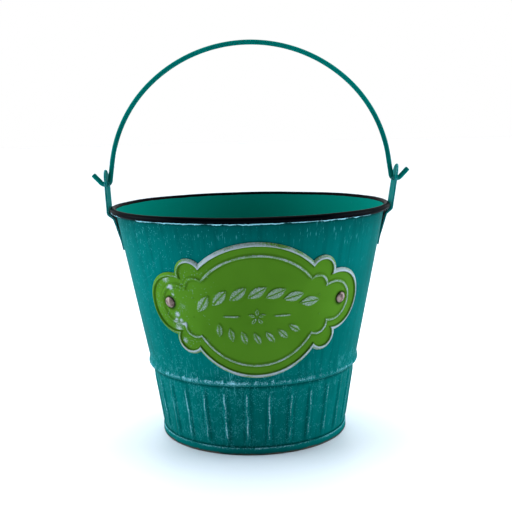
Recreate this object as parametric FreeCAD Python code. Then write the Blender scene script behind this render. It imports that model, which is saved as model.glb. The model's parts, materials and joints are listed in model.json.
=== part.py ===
"""Florist's tin bucket: a tapered, wired-edge pail with an embossed plaque and a swinging wire bail.

Millimetres, +Z up. The origin is on the floor under the middle of the base. The bail's pivots lie on a
line along X. Angles round the bucket are degrees from -Y towards +X; body, plaque and rivets are made
facing -Y and then turned together by FRONT_TURN.
"""
import FreeCAD, Part

import math
import os

from FreeCAD import Vector

# Stock: sheet and wire
SHEET = 0.3  # tinplate of the body and of the base pan
RIM_WIRE = 2.6  # diameter of the wire rolled into the rim
BAIL_WIRE = 2.8  # diameter of the bail
EAR_SHEET = 1.0  # strip that the ears are bent from
PLAQUE_SHEET = 0.6  # thickness of the plaque's field

# Body
RIM_DIA = 160.0  # over the wired edge
HEIGHT = 132.0  # floor to the top of the wired edge
WALL_SLOPE = math.radians(10.9)  # how far the wall leans out, above the hoop
CURL_PLAY = 0.05  # between the rim wire and its curl
CURL_END = math.radians(-135.0)  # where the rolled edge stops, seen from the wire, 0 facing outwards
FRONT_TURN = 2.0  # degrees by which the plaque and the body stand off square to the ears

# Hoop rolled into the body, and the step below it
HOOP_TOP = 45.2  # height at which the hoop leaves the wall
HOOP_CREST = 42.7  # height of its crest
HOOP_RISE = 1.05  # crest proud of the wall's line
HOOP_EDGE = 40.5  # height of its sharp lower edge
HOOP_EDGE_RISE = 0.45  # that edge proud of the wall's line
HOOP_SHOULDER = 0.55  # share of the rise reached half-way down to the crest
HOOP_BELLY = 0.08  # share of the rise lost half-way down from crest to edge
STEP_DEPTH = 1.45  # how far the skirt stands in from the hoop's lower edge
SKIRT_LEAD = 0.35  # upright stretch at the top of the skirt

# Fluted skirt
SKIRT_TOP = 39.3
RIB_COUNT = 30
RIB_WIDTH = 3.2
RIB_HEIGHT = 0.6
RIB_FADE_TOP = 5.0  # each rib dies away over this height below the hoop
RIB_FADE_FOOT = 5.2  # and over this height above the base seam

# Double seam that joins the base pan to the body, from the inside: pan, body, pan, body, pan
SEAM_DIA = 108.0
SEAM_HEIGHT = 4.2
SEAM_BREAK = 0.4  # the seam's outer corners, broken by this much
HOOK_PLAY = 0.3  # between a hook's free edge and the fold it lies in
PAN_RECESS = 3.6  # floor to the underside of the pan

# Grooved lock seam down the back
LOCK_WIDTH = 5.0
LOCK_RISE = 0.6
LOCK_TOP_GAP = 1.2  # below the curl

# Ears
EAR_WIDTH = 16.0
EAR_LEAN = {-1: math.radians(2.3), 1: math.radians(8.5)}  # left and right, outwards; handling has bent them
EAR_RIM_GAP = 1.0  # between the ear and the rim that it stands against
EAR_BEND_DROP = 4.2  # bend below the top of the rim
EAR_NECK_DROP = 6.8  # end of the short leg out under the rim, below the top of the rim
EAR_NECK_GAP = 1.5  # and its distance off the wall
EAR_FOOT_DROP = 20.0  # top of the welded foot below the top of the rim
EAR_FOOT = 5.0  # height of the foot, flush on the wall
EAR_TIP_RISE = 8.3  # tip above the pivot
PIVOT_RISE = 12.3  # pivot above the top of the rim
PIVOT_PLAY = 1.2  # ear hole larger than the bail's wire

# Bail, measured on the wire's centre line
BAIL_RISE = 78.0  # apex above the pivot
BAIL_LEG = 12.2  # height above the pivot at which the legs turn into the shoulders
LEG_SLANT = math.radians(8.5)  # the legs spread towards the ears
SHOULDER_RADIUS = 75.0
HOOK_RADIUS = 2.3  # bend that takes the leg through the ear
HOOK_REACH = 0.6  # straight stretch outside the ear
TAIL_RADIUS = 2.5
TAIL_TURN = math.radians(47.0)
TAIL_LENGTH = 6.6

# Plaque, laid out flat as circles (across, up, radius) before it is wrapped on the wall
PLAQUE_PANEL = 86.8  # height from hoop to rim that this layout fits; it grows and shrinks with the real one
PLAQUE_MIDDLE = 37.15  # its middle above the hoop
PLAQUE_CROWN = (0.0, -4.3, 41.8)
PLAQUE_LOBE = (35.8, 18.2, 8.5)
PLAQUE_END = (44.7, 0.0, 17.5)
LINE_CROWN = (0.0, -5.0, 35.3)
LINE_LOBE = (32.7, 10.7, 5.6)
LINE_END = (42.7, 0.0, 10.8)
BORDER_WIDTH = 2.4
BORDER_HEIGHT = 1.5  # over the wall
BORDER_BEVEL = 1.5  # width of the border's outer slope
BORDER_FALL = 0.5  # and of its drop to the field
LINE_WIDTH = 1.7
LINE_CREST = 0.9  # flat top of the raised line
LINE_HEIGHT = 1.15  # over the wall
EDGE_LIFT = 0.1  # border's underside off the wall

# Rivets that hold the plaque
RIVET_OUT = 48.5  # from the plaque's middle, along the wall, on the same layout
RIVET_SHANK = 2.4
RIVET_HEAD = 5.9
RIVET_HEAD_RISE = 1.45
RIVET_TAIL = 3.8
RIVET_TAIL_RISE = 0.8
HEAD_EDGE = 0.3  # upright edge of the head, below its dome
TAIL_PLAY = 0.05  # the tail's flat seat stands off the hollow wall by this much at its middle
DIMPLE_DIA = 7.6  # pressed in the plaque under each head
DIMPLE_DEPTH = 0.35

# Values that follow from the sizes above
TAN_WALL = math.tan(WALL_SLOPE)
SIN_WALL = math.sin(WALL_SLOPE)
COS_WALL = math.cos(WALL_SLOPE)
CURL_INSIDE = RIM_WIRE / 2 + CURL_PLAY
CURL_OUTSIDE = CURL_INSIDE + SHEET
WIRE_RADIUS = RIM_DIA / 2 - CURL_OUTSIDE  # rim wire's centre from the bucket's axis
WIRE_Z = HEIGHT - CURL_OUTSIDE
FOOT_RADIUS = SEAM_DIA / 2 - 3 * SHEET  # outside of the body where it enters the seam
PIVOT_Z = HEIGHT + PIVOT_RISE
RIB_PITCH = 2 * math.pi / RIB_COUNT
PLAQUE_SCALE = (HEIGHT - HOOP_TOP) / PLAQUE_PANEL
PLAQUE_MID = HOOP_TOP + PLAQUE_MIDDLE * PLAQUE_SCALE


def wall_radius(z):
    """Outside radius of the plain tapered wall at height z."""
    return WIRE_RADIUS - CURL_INSIDE / COS_WALL + (z - WIRE_Z) * TAN_WALL


def rz(radius, z):
    """Point of a profile, in the XZ plane."""
    return Vector(radius, 0, z)


def around(angle, radius, z):
    """Point at an angle in radians from the front, a radius from the axis and a height."""
    return Vector(radius * math.sin(angle), -radius * math.cos(angle), z)


def line(a, b):
    return Part.LineSegment(a, b).toShape()


def arc(a, middle, b):
    return Part.Arc(a, middle, b).toShape()


def arc_about(centre, radius, start, end):
    """Arc in the XZ plane about a centre, between two angles in radians, 0 along +X."""
    def at(angle):
        return centre + rz(radius * math.cos(angle), radius * math.sin(angle))
    return arc(at(start), at((start + end) / 2), at(end))


def dome(radius, edge, top):
    """Round cap's profile from the axis at height top out to its edge: an arc centred on the axis."""
    rise = abs(top - edge)
    ball = (radius ** 2 + rise ** 2) / (2 * rise)
    half = math.atan2(radius, ball - rise) / 2
    sag = math.copysign(ball * (1 - math.cos(half)), edge - top)
    return arc(rz(0, top), rz(ball * math.sin(half), top + sag), rz(radius, edge))


def chain(points):
    """Straight edges through a list of points."""
    return [line(a, b) for a, b in zip(points, points[1:])]


def thicken(edges, thickness, join=2):
    """Strip of even thickness on the left of a path in the XZ plane, or on its right where negative."""
    return Part.Wire(edges).makeOffset2D(thickness, join=join, fill=True, openResult=True)


def spin(face, start=0.0, sweep=360.0):
    """Profile turned about the bucket's axis, from a start angle in degrees from +X."""
    turned = face.copy()
    turned.rotate(Vector(), Vector(0, 0, 1), start)
    return turned.revolve(Vector(), Vector(0, 0, 1), sweep)


def fuse_all(shapes):
    return shapes[0].multiFuse(shapes[1:]).removeSplitter()


def faced(shape):
    """Piece of the body or the plaque, turned from -Y to the way they face."""
    shape.rotate(Vector(), Vector(0, 0, 1), FRONT_TURN)
    return shape


# ---- Body ----

def skirt_top_radius():
    """Outside radius of the skirt where it meets the hoop's step."""
    return wall_radius(HOOP_EDGE) + HOOP_EDGE_RISE - STEP_DEPTH


def upper_path():
    """Outer skin from the top of the skirt over the step and hoop, up the wall and round the rim wire."""
    top = skirt_top_radius()
    edge = rz(wall_radius(HOOP_EDGE) + HOOP_EDGE_RISE, HOOP_EDGE)
    crest = rz(wall_radius(HOOP_CREST) + HOOP_RISE, HOOP_CREST)
    leaves = rz(wall_radius(HOOP_TOP), HOOP_TOP)
    swell = (HOOP_TOP + HOOP_CREST) / 2
    centre = rz(WIRE_RADIUS, WIRE_Z)
    meets = math.pi - WALL_SLOPE
    touch = centre + rz(CURL_INSIDE * math.cos(meets), CURL_INSIDE * math.sin(meets))
    return [
        line(rz(top, SKIRT_TOP), rz(top, SKIRT_TOP + SKIRT_LEAD)),
        line(rz(top, SKIRT_TOP + SKIRT_LEAD), edge),
        arc(edge, rz(crest.x - HOOP_BELLY * HOOP_RISE, (HOOP_EDGE + HOOP_CREST) / 2), crest),
        arc(crest, rz(wall_radius(swell) + HOOP_SHOULDER * HOOP_RISE, swell), leaves),
        line(leaves, touch),
        arc_about(centre, CURL_INSIDE, meets, CURL_END),
    ]


def foot_path():
    """Outer skin of the body's foot: up inside its hook, across the fold and up to the skirt."""
    hook_face = FOOT_RADIUS + SHEET
    fold = 2 * SHEET
    hook_top = SEAM_HEIGHT - SHEET - HOOK_PLAY
    return chain([
        rz(hook_face, hook_top), rz(hook_face, fold), rz(FOOT_RADIUS, fold), rz(FOOT_RADIUS, SEAM_HEIGHT),
    ])


def rib_half_width(inset):
    """Half the rib's width on a skin that lies an inset inside the outer one."""
    radius = (RIB_WIDTH ** 2 / 4 + RIB_HEIGHT ** 2) / (2 * RIB_HEIGHT)
    return math.sqrt((radius - inset) ** 2 - (radius - inset - RIB_HEIGHT) ** 2)


def fluted_section(z, panel, height, inset):
    """Closed outline round the skirt at a height: an arc for each rib and one for each panel between."""
    skin = panel - inset
    half = rib_half_width(inset) / skin
    edges = []
    for i in range(RIB_COUNT):
        rib = (i + 0.5) * RIB_PITCH
        ends = [around(angle, skin, z) for angle in (rib - half, rib + half, rib + RIB_PITCH - half)]
        edges.append(arc(ends[0], around(rib, skin + height, z), ends[1]))
        edges.append(arc(ends[1], around(rib + RIB_PITCH / 2, skin, z), ends[2]))
    return Part.Wire(edges)


def skirt_solid(inset):
    """The skirt filled solid to its outer skin, or to a skin an inset inside that one."""
    top = skirt_top_radius()
    heights = [SEAM_HEIGHT, SEAM_HEIGHT + RIB_FADE_FOOT, SKIRT_TOP - RIB_FADE_TOP, SKIRT_TOP]
    sections = []
    for z, rib in zip(heights, [0.0, RIB_HEIGHT, RIB_HEIGHT, 0.0]):
        share = (z - SEAM_HEIGHT) / (SKIRT_TOP - SEAM_HEIGHT)
        panel = FOOT_RADIUS + share * (top - FOOT_RADIUS)
        sections.append(fluted_section(z, panel, rib, inset))
    return Part.makeLoft(sections, True, True)


def lock_seam():
    """Grooved seam that closes the rolled body: a flat strip down the back, over hoop and skirt alike."""
    top = rz(wall_radius(WIRE_Z), WIRE_Z) - rz(TAN_WALL, 1.0) * (CURL_OUTSIDE + LOCK_TOP_GAP)
    skirt = chain([rz(FOOT_RADIUS, SEAM_HEIGHT), rz(skirt_top_radius(), SKIRT_TOP)])
    hoop = upper_path()[:4]
    leaves = hoop[-1].Vertexes[-1].Point
    path = skirt + hoop + [line(leaves, top)]
    sink = thicken(path, SHEET / 2, join=0)
    strip = thicken(path, -LOCK_RISE, join=0)
    reach = math.degrees(LOCK_WIDTH / FOOT_RADIUS)
    band = spin(sink, 90.0 - reach, 2 * reach).fuse(spin(strip, 90.0 - reach, 2 * reach))
    slab = Part.makeBox(LOCK_WIDTH, RIM_DIA, HEIGHT, Vector(-LOCK_WIDTH / 2, 0, SEAM_HEIGHT))
    return band.common(slab)


def pail_wall():
    upper = spin(thicken(upper_path(), SHEET))
    foot = spin(thicken(foot_path(), SHEET))
    skirt = skirt_solid(0.0).cut(skirt_solid(SHEET))
    wall = fuse_all([upper, skirt, foot, lock_seam()])
    for side in (-1, 1):
        wall = wall.cut(rivet_hole(side))
    return wall


def rim_wire():
    return Part.makeTorus(WIRE_RADIUS, RIM_WIRE / 2, Vector(0, 0, WIRE_Z))


def base_pan():
    """Pressed base: a disc, a wall down inside the body, and a flange rolled up over the body's hook."""
    outside = SEAM_DIA / 2
    inside = FOOT_RADIUS - 2 * SHEET
    hook = FOOT_RADIUS
    floor_top = PAN_RECESS + SHEET
    profile = [
        rz(0, PAN_RECESS), rz(inside, PAN_RECESS), rz(inside, 0), rz(outside - SEAM_BREAK, 0),
        rz(outside, SEAM_BREAK), rz(outside, SEAM_HEIGHT - SEAM_BREAK), rz(outside - SEAM_BREAK, SEAM_HEIGHT),
        rz(hook, SEAM_HEIGHT), rz(hook, 2 * SHEET + HOOK_PLAY), rz(hook + SHEET, 2 * SHEET + HOOK_PLAY),
        rz(hook + SHEET, SEAM_HEIGHT - SHEET), rz(outside - SHEET, SEAM_HEIGHT - SHEET),
        rz(outside - SHEET, SHEET), rz(inside + SHEET, SHEET), rz(inside + SHEET, floor_top),
        rz(0, floor_top),
    ]
    return spin(Part.Face(Part.Wire(chain(profile + profile[:1]))))


# ---- Ears ----

def ear_face(z, side):
    """Radius of an ear's inner face, above its bend: a plate that leans out past the rim."""
    lean = EAR_LEAN[side]
    stand = (CURL_OUTSIDE + EAR_RIM_GAP) / math.cos(lean)
    return WIRE_RADIUS + stand + (z - WIRE_Z) * math.tan(lean)


def ear(side):
    """Bent strip: a foot on the wall, a leg up it and out under the rim, and a plate for the bail."""
    foot_top = HEIGHT - EAR_FOOT_DROP
    foot_low = foot_top - EAR_FOOT
    neck = HEIGHT - EAR_NECK_DROP
    bend = HEIGHT - EAR_BEND_DROP
    tip = PIVOT_Z + EAR_TIP_RISE
    path = chain([
        rz(wall_radius(foot_low), foot_low), rz(wall_radius(foot_top), foot_top),
        rz(wall_radius(neck) + EAR_NECK_GAP, neck),
        rz(ear_face(bend, side), bend), rz(ear_face(tip, side), tip),
    ])
    reach = math.degrees(EAR_WIDTH / wall_radius(foot_low))
    strip = spin(thicken(path, -EAR_SHEET, join=0), -reach, 2 * reach)
    half = EAR_WIDTH / 2
    shoulder = tip - half
    low = foot_low - EAR_SHEET
    outline = [
        line(Vector(0, -half, low), Vector(0, half, low)),
        line(Vector(0, half, low), Vector(0, half, shoulder)),
        arc(Vector(0, half, shoulder), Vector(0, 0, tip), Vector(0, -half, shoulder)),
        line(Vector(0, -half, shoulder), Vector(0, -half, low)),
    ]
    blank = Part.Face(Part.Wire(outline)).extrude(Vector(RIM_DIA, 0, 0))
    hole = Part.makeCylinder((BAIL_WIRE + PIVOT_PLAY) / 2, RIM_DIA, Vector(0, 0, PIVOT_Z), Vector(1, 0, 0))
    solid = strip.common(blank).cut(hole)
    if side < 0:
        solid.rotate(Vector(), Vector(0, 0, 1), 180.0)
    return solid


# ---- Bail ----

def bail_middle():
    """Middle of the bail along X, half-way between the two ears."""
    return (ear_face(PIVOT_Z, 1) - ear_face(PIVOT_Z, -1)) / 2


def bail_half():
    """Centre line of half the bail, from its apex to the tip of its tail, with its middle at 0."""
    face = (ear_face(PIVOT_Z, 1) + ear_face(PIVOT_Z, -1)) / 2
    outwards = rz(math.cos(LEG_SLANT), math.sin(LEG_SLANT))
    hook_centre = rz(face + EAR_SHEET / 2, PIVOT_Z + HOOK_RADIUS)
    leg_low = hook_centre - outwards * HOOK_RADIUS
    leg_top = rz(leg_low.x - (PIVOT_Z + BAIL_LEG - leg_low.z) * math.tan(LEG_SLANT), PIVOT_Z + BAIL_LEG)
    shoulder = leg_top - outwards * SHOULDER_RADIUS
    drop = PIVOT_Z + BAIL_RISE - shoulder.z
    crown_radius = (shoulder.x ** 2 + drop ** 2 - SHOULDER_RADIUS ** 2) / (2 * (drop - SHOULDER_RADIUS))
    crown = rz(0, PIVOT_Z + BAIL_RISE - crown_radius)
    join = math.atan2(shoulder.z - crown.z, shoulder.x)
    reach_end = rz(face + EAR_SHEET + HOOK_REACH, PIVOT_Z)
    tail_centre = reach_end + rz(0, TAIL_RADIUS)
    turned = TAIL_TURN - math.pi / 2
    tail_start = tail_centre + rz(math.cos(turned), math.sin(turned)) * TAIL_RADIUS
    tip = tail_start + rz(math.cos(TAIL_TURN), math.sin(TAIL_TURN)) * TAIL_LENGTH
    return [
        arc_about(crown, crown_radius, math.pi / 2, join),
        arc_about(shoulder, SHOULDER_RADIUS, join, LEG_SLANT),
        line(leg_top, leg_low),
        arc_about(hook_centre, HOOK_RADIUS, math.pi + LEG_SLANT, 1.5 * math.pi),
        line(rz(hook_centre.x, PIVOT_Z), reach_end),
        arc_about(tail_centre, TAIL_RADIUS, -math.pi / 2, turned),
        line(tail_start, tip),
    ]


def bail():
    """Round wire carried along its centre line, one half at a time from the apex."""
    edges = bail_half()
    start = edges[0].Vertexes[0].Point
    section = Part.Wire(Part.makeCircle(BAIL_WIRE / 2, start, Vector(1, 0, 0)))
    half = Part.Wire(edges).makePipeShell([section], True, False)
    whole = fuse_all([half, half.mirror(Vector(), Vector(1, 0, 0))])
    whole.translate(Vector(bail_middle(), 0, 0))
    return whole


# ---- Plaque ----

def cone_top():
    """Height of the point where the wall's taper would close, below the floor."""
    return WIRE_Z - (WIRE_RADIUS - CURL_INSIDE / COS_WALL) / TAN_WALL


def wrap(flat, lift):
    """Flat point (across, up) of the plaque laid on the wall, lifted off it along its normal."""
    across, up = flat
    apex = cone_top()
    slant = (PLAQUE_MID - apex) / COS_WALL + up
    reach = math.hypot(across, slant)
    angle = math.atan2(across, slant) / SIN_WALL
    return around(angle, reach * SIN_WALL + lift * COS_WALL, apex + reach * COS_WALL - lift * SIN_WALL)


def crossing(one, two):
    """Crossing of two circles on the side away from the plaque's middle."""
    (ax, ay, ar), (bx, by, br) = one, two
    gap = math.hypot(bx - ax, by - ay)
    along = (ar ** 2 - br ** 2 + gap ** 2) / (2 * gap)
    off = math.sqrt(ar ** 2 - along ** 2)
    ex, ey = (bx - ax) / gap, (by - ay) / gap
    return (ax + along * ex - off * ey, ay + along * ey + off * ex)


def quarter(circles, inset):
    """Arcs (centre, radius, start angle, end angle) from the crown's top to the end's side, on the right.

    The inset is on the plaque's layout, as the circles are, so border and line keep to their outline.
    """
    crown, lobe, end = [
        (x * PLAQUE_SCALE, y * PLAQUE_SCALE, (r - inset) * PLAQUE_SCALE) for x, y, r in circles
    ]
    notch = crossing(crown, lobe)
    nick = crossing(lobe, end)

    def bearing(circle, point):
        return math.atan2(point[1] - circle[1], point[0] - circle[0])
    return [
        (crown, math.pi / 2, bearing(crown, notch)),
        (lobe, bearing(lobe, notch), bearing(lobe, nick)),
        (end, bearing(end, nick), 0.0),
    ]


def wrapped_edge(circle, start, end, flip, lift, samples=9):
    """One arc of the plaque's outline laid on the wall as a smooth curve."""
    x, y, radius = circle
    points = []
    for i in range(samples):
        angle = start + (end - start) * i / (samples - 1)
        flat = (flip[0] * (x + radius * math.cos(angle)), flip[1] * (y + radius * math.sin(angle)))
        points.append(wrap(flat, lift))
    curve = Part.BSplineCurve()
    curve.interpolate(points)
    return curve.toShape()


def outline(circles, inset, lift):
    """The plaque's lobed outline on the wall: twelve arcs, clockwise from the top."""
    right = quarter(circles, inset)
    arcs = [(c, a, b, (1, 1)) for c, a, b in right]
    arcs += [(c, b, a, (1, -1)) for c, a, b in reversed(right)]
    arcs += [(c, a, b, (-1, -1)) for c, a, b in right]
    arcs += [(c, b, a, (-1, 1)) for c, a, b in reversed(right)]
    return [wrapped_edge(c, a, b, flip, lift) for c, a, b, flip in arcs]


def ridge(circles, section):
    """Closed ridge that follows an outline: its section is a ring of (inset, lift) points."""
    rows = [outline(circles, inset, lift) for inset, lift in section]
    faces = []
    for low, high in zip(rows, rows[1:] + rows[:1]):
        faces += [Part.makeRuledSurface(a, b) for a, b in zip(low, high)]
    solid = Part.Solid(Part.Shell(faces))
    if solid.Volume < 0:
        solid.reverse()
    return solid


def cone_shell(inner, outer):
    """Sector of a shell round the wall, between two lifts, behind the whole plaque."""
    def at(z, lift):
        return rz(wall_radius(z) + lift * COS_WALL, z - lift * SIN_WALL)
    reach = PLAQUE_CROWN[2] * PLAQUE_SCALE + SHEET
    low, high = PLAQUE_MID - reach, PLAQUE_MID + reach
    corners = [at(low, inner), at(high, inner), at(high, outer), at(low, outer)]
    return spin(Part.Face(Part.Wire(chain(corners + corners[:1]))), -180.0, 180.0)


def plaque():
    """Embossed plate: a field wrapped on the wall, a bevelled border and a raised line inside it."""
    shape = (PLAQUE_CROWN, PLAQUE_LOBE, PLAQUE_END)
    trim = BORDER_WIDTH / 2
    rows = [outline(shape, trim, lift) for lift in (-1.0, BORDER_HEIGHT + 1.0)]
    fence = Part.Shell([Part.makeRuledSurface(a, b) for a, b in zip(*rows)])
    pieces = cone_shell(0.0, PLAQUE_SHEET).generalFuse([fence])[0].Solids
    field = min(pieces, key=lambda s: s.CenterOfMass.distanceToPoint(wrap((0, 0), 0)))
    border = ridge(shape, [
        (0.0, EDGE_LIFT), (0.0, PLAQUE_SHEET), (BORDER_BEVEL, BORDER_HEIGHT),
        (BORDER_WIDTH - BORDER_FALL, BORDER_HEIGHT), (BORDER_WIDTH, PLAQUE_SHEET - EDGE_LIFT),
        (BORDER_WIDTH, EDGE_LIFT),
    ])
    raised = ridge((LINE_CROWN, LINE_LOBE, LINE_END), [
        (-LINE_WIDTH / 2, EDGE_LIFT), (-LINE_CREST / 2, LINE_HEIGHT), (LINE_CREST / 2, LINE_HEIGHT),
        (LINE_WIDTH / 2, EDGE_LIFT),
    ])
    plate = field.fuse(border).fuse(raised)
    for side in (-1, 1):
        foot, out = rivet_place(side)
        seat = foot + out * (PLAQUE_SHEET - DIMPLE_DEPTH)
        plate = plate.cut(Part.makeCylinder(DIMPLE_DIA / 2, RIVET_HEAD_RISE, seat, out))
        plate = plate.cut(rivet_hole(side))
    return plate


# ---- Rivets ----

def rivet_place(side):
    """Foot of a rivet on the wall and the direction in which it stands out."""
    across = side * RIVET_OUT * PLAQUE_SCALE
    foot = wrap((across, 0), 0)
    out = wrap((across, 0), 1) - foot
    return foot, out.normalize()


def rivet_hole(side):
    foot, out = rivet_place(side)
    return Part.makeCylinder(RIVET_SHANK / 2, 4 * RIVET_HEAD_RISE, foot - out * 2 * RIVET_HEAD_RISE, out)


def rivet(side):
    """Domed head on the plaque, shank through plaque and wall, and a clenched tail inside the pail."""
    shank, head, tail = RIVET_SHANK / 2, RIVET_HEAD / 2, RIVET_TAIL / 2
    seat = PLAQUE_SHEET - DIMPLE_DEPTH
    edge = seat + HEAD_EDGE
    top = seat + RIVET_HEAD_RISE
    inside = -SHEET - TAIL_PLAY
    end = inside - RIVET_TAIL_RISE
    barrel = [rz(head, edge), rz(head, seat), rz(shank, seat), rz(shank, inside), rz(tail, inside)]
    edges = [dome(head, edge, top), *chain(barrel), dome(tail, inside, end), line(rz(0, end), rz(0, top))]
    solid = spin(Part.Face(Part.Wire(edges)))
    foot, out = rivet_place(side)
    solid.Placement = FreeCAD.Placement(foot, FreeCAD.Rotation(Vector(0, 0, 1), out))
    return solid


def main():
    os.makedirs("parts", exist_ok=True)
    nodes = {
        "pail_wall": faced(pail_wall()),
        "rim_wire": rim_wire(),
        "base_pan": base_pan(),
        "left_ear": ear(-1),
        "right_ear": ear(1),
        "plaque": faced(plaque()),
        "left_plaque_rivet": faced(rivet(-1)),
        "right_plaque_rivet": faced(rivet(1)),
        "bail": bail(),
    }
    for name, shape in nodes.items():
        shape.exportStep(f"parts/{name}.step")
        print(f"{name}: {len(shape.Solids)} solid, {len(shape.Faces)} faces, {shape.Volume:.1f} mm3")


main()
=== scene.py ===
"""Looks of a florist's tin bucket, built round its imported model.

Metres, +Z up. The origin is on the floor under the middle of the base, and the plaque faces -Y. Angles
round the bucket are in radians from the front (-Y) towards +X.
"""
import json
import logging
import math
from dataclasses import dataclass, field, replace
from enum import Enum
from typing import ClassVar

import bpy
import numpy as np
from mathutils import Matrix, Vector

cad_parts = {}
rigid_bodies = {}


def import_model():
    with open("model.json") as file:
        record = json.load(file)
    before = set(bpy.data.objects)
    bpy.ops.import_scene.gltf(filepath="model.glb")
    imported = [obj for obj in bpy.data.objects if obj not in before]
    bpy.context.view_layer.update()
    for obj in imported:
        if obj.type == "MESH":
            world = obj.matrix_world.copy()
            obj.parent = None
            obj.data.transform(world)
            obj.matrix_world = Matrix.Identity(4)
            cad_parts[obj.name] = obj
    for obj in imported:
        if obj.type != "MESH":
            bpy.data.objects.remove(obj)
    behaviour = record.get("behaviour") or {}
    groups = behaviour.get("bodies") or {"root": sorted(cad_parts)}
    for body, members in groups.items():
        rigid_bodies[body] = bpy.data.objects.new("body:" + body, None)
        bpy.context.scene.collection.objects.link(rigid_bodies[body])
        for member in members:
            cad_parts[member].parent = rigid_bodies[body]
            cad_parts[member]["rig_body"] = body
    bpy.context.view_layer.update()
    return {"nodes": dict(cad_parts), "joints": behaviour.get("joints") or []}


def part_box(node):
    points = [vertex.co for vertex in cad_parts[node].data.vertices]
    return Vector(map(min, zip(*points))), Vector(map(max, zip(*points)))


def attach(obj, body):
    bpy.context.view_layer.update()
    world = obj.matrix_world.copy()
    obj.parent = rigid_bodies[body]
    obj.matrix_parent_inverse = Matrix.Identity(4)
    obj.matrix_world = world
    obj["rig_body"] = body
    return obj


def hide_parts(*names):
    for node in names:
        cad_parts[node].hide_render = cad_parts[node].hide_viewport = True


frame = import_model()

log = logging.getLogger("bucket")

MM = 0.001
FULL_TURN = 2.0 * math.pi
Array = np.ndarray
Socket = bpy.types.NodeSocket
Colour = tuple[float, float, float]
Circle = tuple[float, float, float]  # middle (across, up) and radius
Mark = tuple[float, float]  # height of a mark on the body, and its reach up and down


class Mask(str, Enum):
    """Point attributes that tell the finishes where a surface is worn, dirty or bare, and where shade is
    painted.
    """

    RUB = "rub"  # how rubbed a place is, before its ragged edge is cut by noise
    FLECK = "fleck"  # how thickly the specks lie
    DRAWN = "drawn"  # and the scratches drawn down the wall
    GRIME = "grime"  # how dark a place is made by dirt, and by painted shade in recesses, creases, under the rim and round the rivets
    BLACK = "black"  # black rim paint: a half at its lower edge, less below
    BARE = "bare"  # bare, tarnished tinplate
    INSIDE = "inside"  # flat inner coat


# ---- Curves and grids ----


def smooth_step(value: Array, low: float, high: float) -> Array:
    """Smooth rise from 0 to 1.

    Args:
        value: Where it is read.
        low: Value at which the rise starts.
        high: Value at which it ends.

    Returns:
        3t^2 - 2t^3, with t the share of the way from low to high, held between 0 and 1.
    """
    share = np.clip((np.asarray(value, float) - low) / (high - low), 0.0, 1.0)
    return share * share * (3.0 - 2.0 * share)


def bell(value: Array, middle: float, width: float) -> Array:
    """Bell curve exp(-((value - middle) / width)^2)."""
    return np.exp(-(((np.asarray(value, float) - middle) / width) ** 2))


def full_circle(samples: int) -> Array:
    """Evenly spaced angles round a circle, as (1, samples)."""
    return np.linspace(0.0, FULL_TURN, samples, endpoint=False)[None, :]


def arc(centre: tuple[float, float], radius: float, start: float, end: float, samples: int) -> Array:
    """Points on a circle between two angles, as (samples, 2)."""
    angle = np.linspace(start, end, samples)
    return np.stack([centre[0] + radius * np.cos(angle), centre[1] + radius * np.sin(angle)], axis=1)


def arc_through(first: Array, middle: Array, last: Array, samples: int) -> Array:
    """Arc from one point to another by way of a third.

    The centre c is as far from all three: 2(p - first) . c = p.p - first.first for the two others.

    Args:
        first: Where it starts.
        middle: A point on the way.
        last: Where it ends.
        samples: Number of points.

    Returns:
        Points as (samples, 2).
    """
    points = np.array([first, middle, last], float)
    squares = (points**2).sum(axis=1)
    centre = np.linalg.solve(2.0 * (points[1:] - points[0]), squares[1:] - squares[0])
    spokes = points - centre
    angles = np.unwrap(np.arctan2(spokes[:, 1], spokes[:, 0]))
    return arc(tuple(centre), float(np.hypot(*spokes[0])), angles[0], angles[2], samples)


def rounded_path(corners: list, radii: list[float], samples: int = 6) -> Array:
    """Path through corners, each inner one turned on an arc.

    An arc of radius r that turns a corner of inner angle 2h touches its legs r / tan(h) from the
    corner, and its centre lies r / sin(h) along the bisector. Its points are the arc's two radii
    mixed by the sines of the shares of its angle.

    Args:
        corners: Points (across, up), first and last included.
        radii: Arc radius at each inner corner.
        samples: Points on each arc.

    Returns:
        Points as (n, 2).
    """
    points = np.array(corners, float)
    pieces = [points[:1]]
    for before, corner, after, radius in zip(points, points[1:], points[2:], radii):
        back = (before - corner) / np.hypot(*(before - corner))
        ahead = (after - corner) / np.hypot(*(after - corner))
        half = math.acos(float(np.clip(back @ ahead, -1.0, 1.0))) / 2.0
        bisector = (back + ahead) / np.hypot(*(back + ahead))
        centre = corner + bisector * radius / math.sin(half)
        start = corner + back * radius / math.tan(half) - centre
        end = corner + ahead * radius / math.tan(half) - centre
        sweep = math.pi - 2.0 * half
        share = np.linspace(0.0, 1.0, samples)[:, None]
        spokes = (np.sin((1.0 - share) * sweep) * start + np.sin(share * sweep) * end) / math.sin(sweep)
        pieces.append(centre + spokes)
    pieces.append(points[-1:])
    return np.concatenate(pieces)


def fill_gaps(path: Array, step: float) -> Array:
    """Adds evenly spaced points on every stretch of a path that is longer than a step.

    Args:
        path: Points as (n, 2).
        step: Longest stretch that may stay.

    Returns:
        The path with the added points.
    """
    lengths = np.hypot(*np.diff(path, axis=0).T)
    counts = np.maximum(1, np.ceil(lengths / step).astype(int))
    stretch = np.repeat(np.arange(len(counts)), counts)
    first = np.repeat(np.cumsum(counts) - counts, counts)
    share = ((np.arange(counts.sum()) - first) / counts[stretch])[:, None]
    filled = path[stretch] * (1.0 - share) + path[stretch + 1] * share
    return np.concatenate([filled, path[-1:]])


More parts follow.
